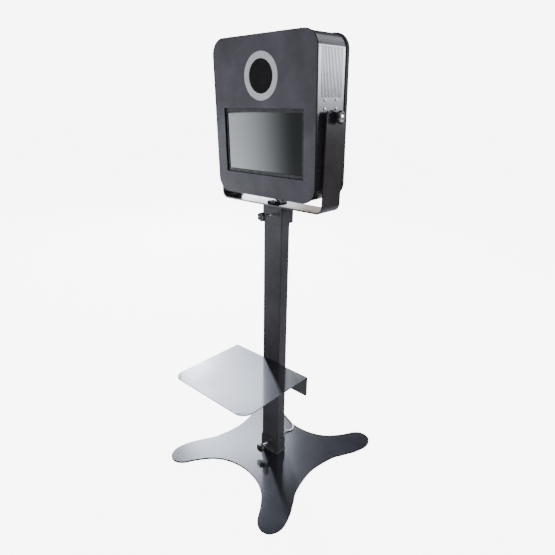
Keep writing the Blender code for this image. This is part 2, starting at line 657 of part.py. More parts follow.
def build_camera_shelf(looks, head, inside):
    """Shelf across the cabinet. Its flanges take the side screws and the threads of the tilt studs."""
    wing = inside - GAP
    deck = CAMERA_DECK
    low = TILT_HEIGHT - 12 * MM
    sheet = 2 * MM
    inner = wing - sheet
    outline = [(-wing, low), (-inner, low), (-inner, deck - sheet), (inner, deck - sheet), (inner, low),
               (wing, low), (wing, deck), (-wing, deck)]
    shape = prism([outline], "Y", -46 * MM, 34 * MM)
    shelf = piece("camera_shelf", shape, looks["zinc"], head, smooth=False)
    cuts = []
    for side in (-1, 1):
        near, far = sorted((side * (wing - 4 * MM), side * (wing + 2 * MM)))
        cuts.append(rod(3.4 * MM, "X", near, far, (0, 0, TILT_HEIGHT), 16))
    number = 0
    out = SHELL_HALF / MM
    for y in SIDE_SCREW_Y:
        for z in SIDE_SCREW_Z:
            number += 1
            cuts.append(rod(2.3 * MM, "X", wing - 4 * MM, wing + 2 * MM, (0, y, z), 10))
            profile = [(0, out - 8), (1.9, out - 8), (1.9, out + 0.3), (4.2, out + 0.3), (3.4, out + 2.2),
                       (0, out + 2.6)]
            screw = turned(millimetres(profile), "X", (0, y, z), 10)
            piece(f"side_screw_{number}", screw, looks["zinc"], head)
    slot = rounded_rect(6.6 * MM, 40 * MM, 3.2 * MM, 0, -6 * MM, 4)
    cuts.append(prism([slot], "Z", deck - 5 * MM, deck + MM))
    change(shelf, merged(cuts))


def build_rear(looks, head):
    """Rear frame, the service door on its hinge, its lock, and the mains switch."""
    opening = rounded_rect(DOOR_WIDTH, DOOR_HEIGHT, DOOR_CORNER, 0, HEAD_MIDDLE, 6)
    shape = prism([head_outline(0, HEAD_CORNER), opening], "Y", REAR_FRONT, HEAD_BACK)
    frame = piece("rear_frame", shape, looks["paint"], head)
    wall = SHELL_INSET - 0.4 * MM
    pocket = prism([head_outline(wall, HEAD_CORNER - wall)], "Y", REAR_FRONT - MM, HEAD_BACK - REAR_SHEET)
    change(frame, pocket)

    hinge_at = (-DOOR_WIDTH / 2 - 2 * MM, HEAD_BACK + 4.2 * MM, HEAD_MIDDLE)
    door_turn = pivot("door_pivot", hinge_at, head)
    leaf = rounded_rect(DOOR_WIDTH - 3 * MM, DOOR_HEIGHT - 3 * MM, DOOR_CORNER - 1.5 * MM, 0, HEAD_MIDDLE, 6)
    door_front = HEAD_BACK - 12 * MM
    door = piece("rear_door", prism([leaf], "Y", door_front, HEAD_BACK), looks["paint"], door_turn)
    pan = rounded_rect(DOOR_WIDTH - 7 * MM, DOOR_HEIGHT - 7 * MM, DOOR_CORNER - 3.5 * MM, 0, HEAD_MIDDLE, 6)
    change(door, prism([pan], "Y", door_front - MM, HEAD_BACK - 2 * MM))
    louvres = []
    for k in range(7):
        middle = HEAD_MIDDLE + 110 * MM + k * 11 * MM
        louvre = rect(-70 * MM, 70 * MM, middle, middle + 4 * MM)
        louvres.append(prism([louvre], "Y", HEAD_BACK - 4 * MM, HEAD_BACK + MM))
    lock_at = (DOOR_WIDTH / 2 - 22 * MM, HEAD_BACK, HEAD_MIDDLE)
    louvres.append(rod(9.4 * MM, "Y", HEAD_BACK - 4 * MM, HEAD_BACK + MM, (lock_at[0], 0, lock_at[2]), 24))
    change(door, merged(louvres))
    build_hinge(looks, head, door_turn, hinge_at)

    lock_turn = pivot("lock_pivot", lock_at, door_turn)
    near = (lock_at[0], 0, lock_at[2])
    barrel = [(0, 59.5), (3, 59.5), (3, 63.5), (9, 63.5), (9, 78.3), (11, 78.3), (11, 80.5), (10, 81.5),
              (0, 81.5)]
    lock = piece("door_lock", turned(millimetres(barrel), "Y", near, 24), looks["chrome"], lock_turn)
    keyhole = rect(lock_at[0] - 0.8 * MM, lock_at[0] + 0.8 * MM, lock_at[2] - 4 * MM, lock_at[2] + 4 * MM)
    change(lock, prism([keyhole], "Y", 79 * MM, 84 * MM))
    cam = rounded_rect(14 * MM, 40 * MM, 6.5 * MM, lock_at[0], lock_at[2] - 13 * MM, 4)
    change(lock, prism([cam], "Y", 60 * MM, 62.5 * MM), "UNION")

    build_switch(looks, head, frame)


HINGE_LONG = 300 * MM
KNUCKLES = 5
KNUCKLE_RADIUS = 3.4 * MM
PIN_RADIUS = 1.7 * MM


def build_hinge(looks, head, door_turn, at):
    """Long hinge on the frame's back face: the pin and three knuckles on the frame, two on the door."""
    x, y, z = at
    low = z - HINGE_LONG / 2
    high = z + HINGE_LONG / 2
    near = HEAD_BACK + GAP
    far = HEAD_BACK + 1.8 * MM
    frame_leaf = block((x - 20 * MM, near, low), (x + 0.4 * MM, far, high))
    door_leaf = block((x + 1.2 * MM, near, low), (x + 22 * MM, far, high))
    fixed = piece("hinge_frame_leaf", frame_leaf, looks["zinc"], head, smooth=False)
    moving = piece("hinge_door_leaf", door_leaf, looks["zinc"], door_turn, smooth=False)
    share = HINGE_LONG / KNUCKLES
    for k in range(KNUCKLES):
        start = low + k * share + GAP
        end = start + share - 2 * GAP
        owner, other = (fixed, moving) if k % 2 == 0 else (moving, fixed)
        change(owner, rod(KNUCKLE_RADIUS, "Z", start, end, (x, y, 0), 20), "UNION")
        change(other, rod(KNUCKLE_RADIUS + GAP, "Z", start - 2 * GAP, end + 2 * GAP, (x, y, 0), 20))
    change(moving, rod(PIN_RADIUS + GAP, "Z", low - 10 * MM, high + 10 * MM, (x, y, 0), 16))
    change(fixed, rod(PIN_RADIUS, "Z", low - 2 * MM, high + 2 * MM, (x, y, 0), 16), "UNION")


def build_switch(looks, head, frame):
    """Rocker switch in the frame's lower edge, resting on its off side."""
    x = -110 * MM
    z = HEAD_BOTTOM + 15 * MM

    def box_outline(half_wide, half_tall):
        return rect(x - half_wide * MM, x + half_wide * MM, z - half_tall * MM, z + half_tall * MM)

    change(frame, prism([box_outline(10, 6.5)], "Y", HEAD_BACK - 10 * MM, HEAD_BACK + MM))
    well = box_outline(8.6, 5.2)
    rim = [rounded_rect(24 * MM, 16 * MM, 1.5 * MM, x, z, 2), well]
    shape = prism(rim, "Y", HEAD_BACK + GAP, HEAD_BACK + 2 * MM)
    body = piece("switch_body", shape, looks["black"], head, smooth=False)
    change(body, prism([box_outline(9.7, 6.2)], "Y", HEAD_BACK - 14 * MM, HEAD_BACK + MM), "UNION")
    change(body, prism([well], "Y", HEAD_BACK - 11 * MM, HEAD_BACK + 5 * MM))

    axle = HEAD_BACK - 3 * MM
    turn = pivot("rocker_pivot", (x, axle, z), head)
    off = math.radians(7)
    section = ((-7.6, -2), (7.6, -2), (7.6, 3.2), (0, 4.4), (-7.6, 3.2))
    outline = [(x + (across * math.cos(off) - out * math.sin(off)) * MM,
                axle + (across * math.sin(off) + out * math.cos(off)) * MM) for across, out in section]
    rocker = prism([outline], "Z", z - 4.8 * MM, z + 4.8 * MM)
    piece("switch_rocker", rocker, looks["black"], turn, smooth=False)


def build_tilt(looks, head):
    """On each side a spacer between cabinet and arm, and a hand knob whose stud the cabinet turns on."""
    for side, name in ((-1, "left"), (1, "right")):
        near = side * (SHELL_HALF + GAP)
        far = side * (YOKE_INSIDE - GAP)
        ring = [(4.4 * MM, near), (SPACER_RADIUS, near), (SPACER_RADIUS, far), (4.4 * MM, far)]
        piece(f"tilt_spacer_{name}", turned(ring, "X", (0, 0, TILT_HEIGHT), 32), looks["black"], head)
        stud_end = side * (SHELL_HALF - SHELL_SHEET - 9 * MM) / MM
        hand_knob(f"tilt_{name}", "X", side, side * YOKE_OUTSIDE, stud_end, (0, 0, TILT_HEIGHT), looks, head,
                  40, 0.8)


# ---------------------------------------------------------------- what the head holds
CAMERA_DECK = 1411 * MM
LENS_FRONT = -70 * MM


def build_camera(looks, head):
    """Camera on a sliding plate, held from below by a thumb screw through the shelf's slot."""
    slide = pivot("camera_pivot", (0, 0, CAMERA_DECK), head)
    tray_low = CAMERA_DECK + GAP
    tray_high = tray_low + 4 * MM
    hole = circle(3.4 * MM, 0, -6 * MM, 16)
    tray = prism([rounded_rect(120 * MM, 60 * MM, 6 * MM, 0, -6 * MM, 3), hole], "Z", tray_low, tray_high)
    piece("camera_tray", tray, looks["zinc"], slide)
    body_low = tray_high + GAP
    middle = -6 * MM
    body = prism([rounded_rect(134 * MM, 46 * MM, 10 * MM, 0, middle, 4)], "Z", body_low, body_low + 92 * MM)
    camera = piece("camera_body", body, looks["black"], slide)
    change(camera, rod(3.4 * MM, "Z", body_low - MM, body_low + 10 * MM, (0, middle, 0), 16))
    hump = []
    for height, wide in ((80, 60), (100, 52), (108, 34)):
        outline = rounded_rect(wide * MM, 40 * MM, 8 * MM, 0, middle, 3)
        hump.append([(x, y, body_low + height * MM) for x, y in outline])
    change(camera, lofted(hump), "UNION")
    grip = rounded_rect(30 * MM, 30 * MM, 9 * MM, -52 * MM, middle - 20 * MM, 4)
    change(camera, prism([grip], "Z", body_low + 2 * MM, body_low + 84 * MM), "UNION")
    # The thumb screw's heights are measured from the shelf's upper face.
    thread_end = (body_low - CAMERA_DECK) / MM + 8
    screw = [(0, -14), (9, -14), (10, -12), (10, -4), (9, -2.3), (3, -2.3), (3, thread_end), (0, thread_end)]
    shape = turned(millimetres(screw), "Z", (0, middle, CAMERA_DECK), 20)
    piece("camera_screw", shape, looks["black"], slide)

    axis = (0, 0, RING_HEIGHT)
    face = middle - 23 * MM - GAP
    barrel = [(0, face), (33 * MM, face), (33 * MM, face - 12 * MM), (30.5 * MM, face - 12 * MM),
              (30.5 * MM, face - 30 * MM), (33 * MM, face - 30 * MM), (34 * MM, LENS_FRONT),
              (29 * MM, LENS_FRONT), (27 * MM, LENS_FRONT + 6 * MM), (0, LENS_FRONT + 6 * MM)]
    piece("lens_barrel", turned(barrel, "Y", axis, 32), looks["black"], slide)
    zoom = pivot("zoom_pivot", (0, face - 21 * MM, RING_HEIGHT), slide)
    ring = [(31 * MM, face - 12.5 * MM), (35 * MM, face - 12.5 * MM), (35 * MM, face - 29.5 * MM),
            (31 * MM, face - 29.5 * MM)]
    piece("zoom_ring", turned(ring, "Y", axis, 32), looks["rubber"], zoom)
    glass = LENS_FRONT + 6 * MM - GAP
    dome = [(0, glass), (26 * MM, glass), (24 * MM, glass - MM), (14 * MM, glass - 2.6 * MM),
            (0, glass - 3.4 * MM)]
    piece("front_lens", turned(dome, "Y", axis, 32), looks["lens"], slide)
    return slide


def build_electronics(looks, head):
    back = GLASS_FRONT + GLASS_THICK + DISPLAY_THICK + 3 * MM
    case = rounded_rect(150 * MM, 130 * MM, 8 * MM, -30 * MM, SCREEN_MIDDLE, 3)
    piece("control_computer", prism([case], "Y", back, back + 40 * MM), looks["black"], head)
    low = HEAD_BOTTOM + SHELL_INSET + SHELL_SHEET + GAP
    piece("power_supply", block((50 * MM, -30 * MM, low), (160 * MM, 26 * MM, low + 36 * MM)),
          looks["zinc"], head, smooth=False)
    build_fan(looks, head)


FAN_Z = 1490 * MM
FAN_SIZE = 70 * MM
FAN_DEPTH = 20 * MM
FAN_BLADES = 7


def build_fan(looks, head):
    """Square fan behind the right-hand vents, its rotor turning about X."""
    outside = SHELL_HALF - SHELL_SHEET - GAP
    inside = outside - FAN_DEPTH
    hole = circle(0.47 * FAN_SIZE, VENT_MIDDLE, FAN_Z, 36)
    square = rounded_rect(FAN_SIZE, FAN_SIZE, 4 * MM, VENT_MIDDLE, FAN_Z, 3)
    housing = piece("fan_housing", prism([square, hole], "X", inside, outside), looks["black"], head)
    hub = rod(12 * MM, "X", inside, inside + 3 * MM, (0, VENT_MIDDLE, FAN_Z), 20)
    change(housing, hub, "UNION")
    reach = 0.49 * FAN_SIZE
    arm = 2 * MM
    for wide, tall in ((reach, arm), (arm, reach)):
        low = (inside, VENT_MIDDLE - wide, FAN_Z - tall)
        high = (inside + 3 * MM, VENT_MIDDLE + wide, FAN_Z + tall)
        change(housing, block(low, high), "UNION")

    # Seven swept blades: each ring of points goes out to the tip three times and back to the hub three times.
    turn = pivot("fan_pivot", (inside + 10 * MM, VENT_MIDDLE, FAN_Z), head)
    rings = []
    count = FAN_BLADES * 6
    for along, twist in ((4, 0.0), (8, 0.16), (12, 0.32), (16, 0.48)):
        ring = []
        for k in range(count):
            tip = k % 6 > 2
            radius = (30 if tip else 12.5) * MM
            angle = 2 * math.pi * k / count + (twist if tip else 0.0)
            y = VENT_MIDDLE + radius * math.cos(angle)
            ring.append(flat_point("X", y, FAN_Z + radius * math.sin(angle), inside + along * MM))
        rings.append(ring)
    piece("fan_rotor", lofted(rings), looks["black"], turn, smooth=False)


def main():
    for old in list(bpy.data.objects):
        bpy.data.objects.remove(old, do_unlink=True)
    looks = {
        "paint": material("charcoal_paint", (0.055, 0.055, 0.062), 0.38, 0.6),
        "knob": material("knob_plastic", (0.012, 0.012, 0.014), 0.4, 0.0),
        "chrome": material("chrome", (0.75, 0.75, 0.76), 0.12, 1.0),
        "zinc": material("zinc_steel", (0.55, 0.56, 0.58), 0.35, 1.0),
        "rubber": material("black_rubber", (0.015, 0.015, 0.016), 0.7, 0.0),
        "black": material("black_plastic", (0.02, 0.02, 0.022), 0.45, 0.0),
        "white": material("white_plastic", (0.8, 0.8, 0.78), 0.4, 0.0),
        "diffuser": material("ring_diffuser", (0.7, 0.7, 0.72), 0.35, 0.0),
        "board": material("circuit_board", (0.75, 0.75, 0.72), 0.5, 0.0),
        "dark_glass": material("dark_glass", (0.01, 0.01, 0.013), 0.05, 0.0),
        "screen": material("screen_glass", (0.01, 0.012, 0.014), 0.04, 0.0),
        "lens": material("lens_glass", (0.02, 0.02, 0.04), 0.02, 0.0),
    }
    build_stand(looks)
    collar = build_collar(looks)
    yoke = build_yoke(looks, collar)
    head = pivot("tilt_pivot", (0, 0, TILT_HEIGHT), yoke, HEAD_LEAN)
    build_front(looks, head)
    build_shell(looks, head)
    build_rear(looks, head)
    build_tilt(looks, head)
    build_camera(looks, head)
    build_electronics(looks, head)


main()
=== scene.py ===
"""Looks of an open-air photo booth: finer pieces, materials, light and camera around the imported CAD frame."""
import json
import math

import bmesh
import bpy
from mathutils import Matrix, Vector


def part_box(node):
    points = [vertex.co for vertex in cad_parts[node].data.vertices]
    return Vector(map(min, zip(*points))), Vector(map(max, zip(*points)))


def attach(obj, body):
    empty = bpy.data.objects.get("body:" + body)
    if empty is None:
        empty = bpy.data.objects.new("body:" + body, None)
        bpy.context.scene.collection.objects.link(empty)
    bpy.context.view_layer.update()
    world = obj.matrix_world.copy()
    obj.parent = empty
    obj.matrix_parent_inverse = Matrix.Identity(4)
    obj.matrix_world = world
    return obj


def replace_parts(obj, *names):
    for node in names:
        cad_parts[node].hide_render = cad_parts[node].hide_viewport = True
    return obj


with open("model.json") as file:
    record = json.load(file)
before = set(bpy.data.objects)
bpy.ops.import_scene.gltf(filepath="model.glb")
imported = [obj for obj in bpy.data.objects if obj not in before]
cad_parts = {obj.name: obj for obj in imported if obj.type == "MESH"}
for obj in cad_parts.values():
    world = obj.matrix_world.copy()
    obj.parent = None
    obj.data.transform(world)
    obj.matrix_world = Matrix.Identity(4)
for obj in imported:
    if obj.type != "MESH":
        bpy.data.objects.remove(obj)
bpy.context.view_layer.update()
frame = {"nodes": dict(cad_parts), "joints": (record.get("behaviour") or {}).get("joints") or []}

MM = 0.001
NODES = frame["nodes"]
JOINTS = {joint["name"]: joint for joint in frame["joints"]}


def placed(name, data):
    """An object with this data, in the scene."""
    made = bpy.data.objects.new(name, data)
    bpy.context.scene.collection.objects.link(made)
    return made


# ---------------- the head's own frame
TILT_PIVOT = Vector(JOINTS["head_tilt"]["pos_m"])
HEAD_UP = Vector(JOINTS["door_swing"]["axis"])
HEAD_BACKWARD = Vector(JOINTS["lock_turn"]["axis"])
HEAD_MATRIX = Matrix.Translation(TILT_PIVOT) @ Matrix((
    (1, 0, 0, 0),
    (0, HEAD_BACKWARD.y, HEAD_UP.y, 0),
    (0, HEAD_BACKWARD.z, HEAD_UP.z, 0),
    (0, 0, 0, 1),
)) @ Matrix.Translation(-TILT_PIVOT)


# Bodies that lean with the head. Their pieces are drawn upright.
LEANING = ("head", "door", "camera", "zoom", "left_hand_screw", "right_hand_screw")


def upright_box(node):
    """Box of a head node as it would be with the head upright, in millimetres."""
    back = HEAD_MATRIX.inverted()
    points = [back @ vertex.co for vertex in NODES[node].data.vertices]
    low = Vector([min(point[axis] for point in points) for axis in range(3)])
    high = Vector([max(point[axis] for point in points) for axis in range(3)])
    return low / MM, high / MM


# ---------------- camera
CAMERA_PLACE = Vector((1.0354, -1.1797, 1.36))
CAMERA_YAW = math.radians(41.05)
CAMERA_PITCH = math.radians(-20.12)
CAMERA_ROLL = math.radians(1.05)
CAMERA_LENS = 29.06


def make_camera():
    level = math.cos(CAMERA_PITCH)
    forward = Vector((-math.sin(CAMERA_YAW) * level, math.cos(CAMERA_YAW) * level, math.sin(CAMERA_PITCH)))
    flat_right = forward.cross(Vector((0, 0, 1))).normalized()
    flat_up = flat_right.cross(forward)
    right = math.cos(CAMERA_ROLL) * flat_right + math.sin(CAMERA_ROLL) * flat_up
    up = right.cross(forward)
    data = bpy.data.cameras.new("camera")
    data.lens = CAMERA_LENS
    data.sensor_width = 36
    data.clip_end = 100
    camera = placed("camera", data)
    turn = Matrix((right, up, -forward)).transposed().to_4x4()
    camera.matrix_world = Matrix.Translation(CAMERA_PLACE) @ turn
    bpy.context.scene.camera = camera


make_camera()


# ---------------- node helpers for materials
class Shader:
    """A Principled material with short ways to add nodes. Coordinates are metres on the object."""

    def __init__(self, name, colour, roughness, metallic=0.0, specular=0.5):
        self.material = bpy.data.materials.new(name)
        self.material.use_nodes = True
        self.tree = self.material.node_tree
        self.main = self.tree.nodes["Principled BSDF"]
        self.set("Base Color", (*colour, 1.0))
        self.set("Roughness", roughness)
        self.set("Metallic", metallic)
        self.set("Specular IOR Level", specular)
        self.place = self.node("ShaderNodeTexCoord").outputs["Object"]

    def set(self, socket, value):
        self.main.inputs[socket].default_value = value

    def node(self, kind, **values):
        made = self.tree.nodes.new(kind)
        for name, value in values.items():
            setattr(made, name, value)
        return made

    def link(self, source, target):
        self.tree.links.new(source, target)

    def scaled(self, scale):
        """Object coordinates scaled by a different amount on each axis."""
        mapping = self.node("ShaderNodeMapping")
        self.link(self.place, mapping.inputs["Vector"])
        mapping.inputs["Scale"].default_value = scale
        return mapping.outputs["Vector"]

    def noise(self, scale, detail=3.0, vector=None, roughness=0.55):
        made = self.node("ShaderNodeTexNoise")
        made.inputs["Scale"].default_value = scale
        made.inputs["Detail"].default_value = detail
        made.inputs["Roughness"].default_value = roughness
        self.link(vector or self.place, made.inputs["Vector"])
        return made.outputs["Fac"]

    def spread(self, value, low, high, start=0.3, end=0.7):
        """A value from start to end becomes low to high."""
        made = self.node("ShaderNodeMapRange")
        made.inputs["From Min"].default_value = start
        made.inputs["From Max"].default_value = end
        made.inputs["To Min"].default_value = low
        made.inputs["To Max"].default_value = high
        self.link(value, made.inputs["Value"])
        return made.outputs["Result"]

    def blended(self, factor, first, second):
        made = self.node("ShaderNodeMix", data_type="RGBA")
        self.link(factor, made.inputs["Factor"])
        for socket, colour in ((made.inputs["A"], first), (made.inputs["B"], second)):
            if isinstance(colour, tuple):
                socket.default_value = (*colour, 1.0)
            else:
                self.link(colour, socket)
        return made.outputs["Result"]

    def between(self, factor, first, second):
        """The number first where the factor is zero, and the value second where it is one."""
        made = self.node("ShaderNodeMix", data_type="FLOAT")
        self.link(factor, made.inputs["Factor"])
        made.inputs["A"].default_value = first
        self.link(second, made.inputs["B"])
        return made.outputs["Result"]

    def facing_y(self):
        """One where a face looks along the object's own Y axis, zero where it looks across it."""
        split = self.node("ShaderNodeSeparateXYZ")
        self.link(self.node("ShaderNodeTexCoord").outputs["Normal"], split.inputs["Vector"])
        size = self.node("ShaderNodeMath", operation="ABSOLUTE")
        self.link(split.outputs["Y"], size.inputs[0])
        return self.spread(size.outputs["Value"], 0.0, 1.0, 0.55, 0.85)

    def bump(self, height, distance, strength):
        made = self.node("ShaderNodeBump")
        made.inputs["Distance"].default_value = distance
        made.inputs["Strength"].default_value = strength
        self.link(height, made.inputs["Height"])
        previous = self.main.inputs["Normal"]
        if previous.is_linked:
            self.link(previous.links[0].from_socket, made.inputs["Normal"])
        self.link(made.outputs["Normal"], previous)

    def cloud(self, scale, detail):
        """Noise stretched over zero to one."""
        return self.spread(self.noise(scale, detail), 0.0, 1.0)

    def colour(self, value):
        self.link(value, self.main.inputs["Base Color"])

    def rough(self, value):
        self.link(value, self.main.inputs["Roughness"])


def tinted(colour, factor, plus=0.0):
    """A colour made darker or lighter."""
    return tuple(channel * factor + plus for channel in colour)


# Black and dull finish of the sides of the front and rear coats: painted shade for the shadowed seams at the
# panels' edges.
SEAM_SHADE_BLACK = (0.004, 0.004, 0.005)
SEAM_SHADE_ROUGHNESS = 0.62
LACQUER_ROUGHNESS = 0.12


def powder_coat(name, colour, roughness, specular, smudge=0.05, dust=0.25, lacquer=0.0, seam_shade_sides=False):
    """Fine-textured coat: orange peel, slow smudges in the gloss, thin dust, and a share of lacquer over it.

    With this flag the faces that don't look along Y are painted black and dull: painted shade for the dark,
    shadowed seams and sides at the panels' edges.
    """
    made = Shader(name, colour, roughness, 0.0, specular)
    cloud = made.blended(made.cloud(9.0, 4.0), tinted(colour, 1 - dust), tinted(colour, 1 + dust, 0.004))
    speck = made.spread(made.noise(1400.0, 2.0), 0.0, 0.35, 0.58, 0.8)
    tone = made.blended(speck, cloud, tinted(colour, 2.2, 0.01))
    gloss = made.spread(made.noise(14.0, 6.0), roughness - smudge, roughness + smudge)
    # Painted shade: faces that don't look along Y turn black and dull, standing for the shadowed seam at the
    # edge.
    if seam_shade_sides:
        facing = made.facing_y()
        tone = made.blended(facing, SEAM_SHADE_BLACK, tone)
        gloss = made.between(facing, SEAM_SHADE_ROUGHNESS, gloss)
    made.colour(tone)
    made.rough(gloss)
    made.bump(made.noise(950.0, 2.0), 0.00004, 0.7)
    made.bump(made.noise(230.0, 2.0), 0.00006, 0.35)
    if lacquer:
        made.set("Coat Weight", lacquer)
        made.set("Coat Roughness", LACQUER_ROUGHNESS)
    return made.material


def moulded(name, colour, roughness, grain=1600.0):
    made = Shader(name, colour, roughness)
    made.colour(made.blended(made.cloud(40.0, 4.0), tinted(colour, 0.8), tinted(colour, 1.25, 0.002)))
    made.rough(made.spread(made.noise(60.0, 4.0), roughness - 0.06, roughness + 0.08))
    made.bump(made.noise(grain, 3.0), 0.00003, 0.6)
    return made.material


def bright_metal(name, colour, roughness, streak, depth):
    """Plated or rolled steel with faint lines along one axis."""
    made = Shader(name, colour, roughness, 1.0)
    lines = made.noise(1.0, 4.0, made.scaled(streak))
    made.colour(made.blended(made.cloud(90.0, 4.0), tinted(colour, 0.82), colour))
    made.rough(made.spread(lines, roughness - 0.05, roughness + 0.09))
    made.bump(lines, depth, 0.6)
    return made.material


def rubber(name, colour):
    made = Shader(name, colour, 0.68)
    made.colour(made.blended(made.cloud(70.0, 4.0), colour, tinted(colour, 2)))
    made.rough(made.spread(made.noise(120.0, 3.0), 0.58, 0.78))
    made.bump(made.noise(1900.0, 3.0), 0.00005, 0.7)
    return made.material


def glass_front(name, colour, roughness, specular):
    """Opaque glossy glass over something dark, with faint finger marks."""
    made = Shader(name, colour, roughness, 0.0, specular)
    marks = made.noise(26.0, 8.0, roughness=0.7)
    made.rough(made.spread(marks, roughness, roughness + 0.05, 0.5, 0.75))
    made.colour(made.blended(made.cloud(7.0, 2.0), colour, tinted(colour, 1.4)))
    return made.material


def clear_glass(name, colour):
    made = Shader(name, colour, 0.02)
    made.set("Transmission Weight", 0.92)
    made.set("IOR", 1.33)
    made.rough(made.spread(made.noise(30.0, 8.0, roughness=0.7), 0.01, 0.06, 0.5, 0.8))
    return made.material


def opal(name):
    """Milky diffuser with a faint cloud in it."""
    made = Shader(name, (0.62, 0.62, 0.65), 0.32)
    made.colour(made.blended(made.cloud(150.0, 2.0), (0.55, 0.55, 0.585), (0.66, 0.66, 0.69)))
    made.rough(made.spread(made.noise(80.0, 4.0), 0.26, 0.4))
    made.bump(made.noise(1800.0, 2.0), 0.00003, 0.5)
    made.set("Subsurface Weight", 0.2)
    made.set("Subsurface Radius", (0.004, 0.004, 0.004))
    return made.material


def circuit_board(name):
    made = Shader(name, (0.7, 0.7, 0.68), 0.4)
    cells = made.node("ShaderNodeTexBrick")
    made.link(made.scaled((220.0, 220.0, 220.0)), cells.inputs["Vector"])
    cells.inputs["Color1"].default_value = (0.72, 0.72, 0.7, 1)
    cells.inputs["Color2"].default_value = (0.66, 0.66, 0.63, 1)
    cells.inputs["Mortar"].default_value = (0.5, 0.42, 0.2, 1)
    cells.inputs["Mortar Size"].default_value = 0.03
    made.colour(cells.outputs["Color"])
    made.rough(made.spread(made.noise(300.0), 0.3, 0.5))
    return made.material


def cord_jacket(name):
    made = Shader(name, (0.72, 0.71, 0.68), 0.38)
    made.colour(made.blended(made.cloud(35.0, 5.0), (0.84, 0.83, 0.8), (0.92, 0.92, 0.9)))
    made.rough(made.spread(made.noise(90.0, 4.0), 0.3, 0.46))
    made.bump(made.noise(2200.0, 2.0), 0.00002, 0.5)
    return made.material


def weld_bead(name):
    """Painted weld: ripples across the bead."""
    made = Shader(name, (0.016, 0.016, 0.018), 0.36, 0.0, 0.5)
    ripple = made.noise(420.0, 2.0)
    made.colour(made.blended(made.spread(ripple, 0.0, 1.0), (0.01, 0.01, 0.012), (0.028, 0.028, 0.031)))
    made.rough(made.spread(made.noise(60.0, 4.0), 0.3, 0.44))
    made.bump(ripple, 0.0008, 0.9)
    return made.material


COAT = {
    "base": powder_coat("coat_base", (0.009, 0.009, 0.013), 0.34, 0.22, 0.03, dust=0.3, lacquer=0.8),
    "shelf": powder_coat("coat_shelf", (0.01, 0.0095, 0.013), 0.4, 0.3, 0.03, dust=0.3, lacquer=0.75),
    "column": powder_coat("coat_column", (0.052, 0.05, 0.058), 0.4, 0.22),
    "yoke": powder_coat("coat_yoke", (0.026, 0.021, 0.023), 0.22, 0.36, 0.03),
    # The front and rear coats paint their sides black, a painted shade for the shadowed seams at their edges.
    "front": powder_coat("coat_front", (0.086, 0.082, 0.1), 0.36, 0.13, seam_shade_sides=True),
    "shell": powder_coat("coat_shell", (0.03, 0.03, 0.036), 0.24, 0.9, 0.03),
    "rear": powder_coat("coat_rear", (0.024, 0.024, 0.027), 0.38, 0.25, seam_shade_sides=True),
}
KNOB = moulded("knob_black", (0.018, 0.018, 0.02), 0.34, 1200.0)
PLASTIC = moulded("plastic_black", (0.018, 0.018, 0.02), 0.42)
BEZEL = moulded("bezel_black", (0.005, 0.005, 0.006), 0.5, 2400.0)
CHROME = bright_metal("chrome_plate", (0.78, 0.78, 0.8), 0.12, (900.0, 900.0, 900.0), 0.000004)
ZINC = bright_metal("zinc_plate", (0.6, 0.61, 0.63), 0.3, (400.0, 400.0, 400.0), 0.00001)
SHEET = bright_metal("galvanised_sheet", (0.5, 0.51, 0.53), 0.38, (25.0, 900.0, 900.0), 0.00001)
CASE = bright_metal("supply_case", (0.58, 0.58, 0.6), 0.34, (900.0, 25.0, 900.0), 0.00001)
RUBBER = rubber("black_rubber", (0.012, 0.012, 0.013))
SCREEN = glass_front("screen_glass", (0.006, 0.008, 0.008), 0.03, 0.48)
WINDOW = clear_glass("window_glass", (0.08, 0.08, 0.095))
LENS = glass_front("lens_coating", (0.012, 0.01, 0.03), 0.02, 1.0)
OPAL = opal("ring_opal")
BOARD = circuit_board("led_board")
WHITE = cord_jacket("white_jacket")
WELD = weld_bead("painted_weld")


# ---------------- mesh helpers, in millimetres
def flat_point(axis, u, v, depth):
    """A point of the plane across an axis: u and v are the other two axes in X, Y, Z order."""
    if axis == "X":
        return Vector((depth, u, v))
    if axis == "Y":
        return Vector((u, depth, v))
    return Vector((u, v, depth))


def circle(radius, count):
    turn = 2 * math.pi / count
    return [(radius * math.cos(turn * k), radius * math.sin(turn * k)) for k in range(count)]


def rounded_rect(width, height, radius, u=0.0, v=0.0, steps=8):
    """Outline of a rectangle with round corners, counter-clockwise."""
    points = []
    corners = ((1, 1, 0), (-1, 1, 90), (-1, -1, 180), (1, -1, 270))
    for side_u, side_v, start in corners:
        centre_u = u + side_u * (width / 2 - radius)
        centre_v = v + side_v * (height / 2 - radius)
        for step in range(steps + 1):
            angle = math.radians(start + 90 * step / steps)
            points.append((centre_u + radius * math.cos(angle), centre_v + radius * math.sin(angle)))
    return points


def prism(loops, axis, low, high, into=None):
    """Outline loops, holes included, filled and extruded along an axis."""
    shape = bmesh.new()
    for loop in loops:
        ring = [shape.verts.new(flat_point(axis, u, v, low)) for u, v in loop]
        for first, second in zip(ring, ring[1:] + ring[:1]):
            shape.edges.new((first, second))
    bmesh.ops.triangle_fill(shape, use_beauty=True, edges=shape.edges[:])
    grown = bmesh.ops.extrude_face_region(shape, geom=shape.faces[:])
    moved = [item for item in grown["geom"] if isinstance(item, bmesh.types.BMVert)]
    bmesh.ops.translate(shape, verts=moved, vec=flat_point(axis, 0, 0, high - low))
    bmesh.ops.recalc_face_normals(shape, faces=shape.faces[:])
    return joined(into, shape)


def joined(whole, part):
    """part added to whole, which it becomes if there is no whole yet."""
    if whole is None:
        return part
    spare = bpy.data.meshes.new("spare")
    part.to_mesh(spare)
    part.free()
    whole.from_mesh(spare)
    bpy.data.meshes.remove(spare)
    return whole


def block(low, high, into):
    outline = [(low[0], low[1]), (high[0], low[1]), (high[0], high[1]), (low[0], high[1])]
    return prism([outline], "Z", low[2], high[2], into)


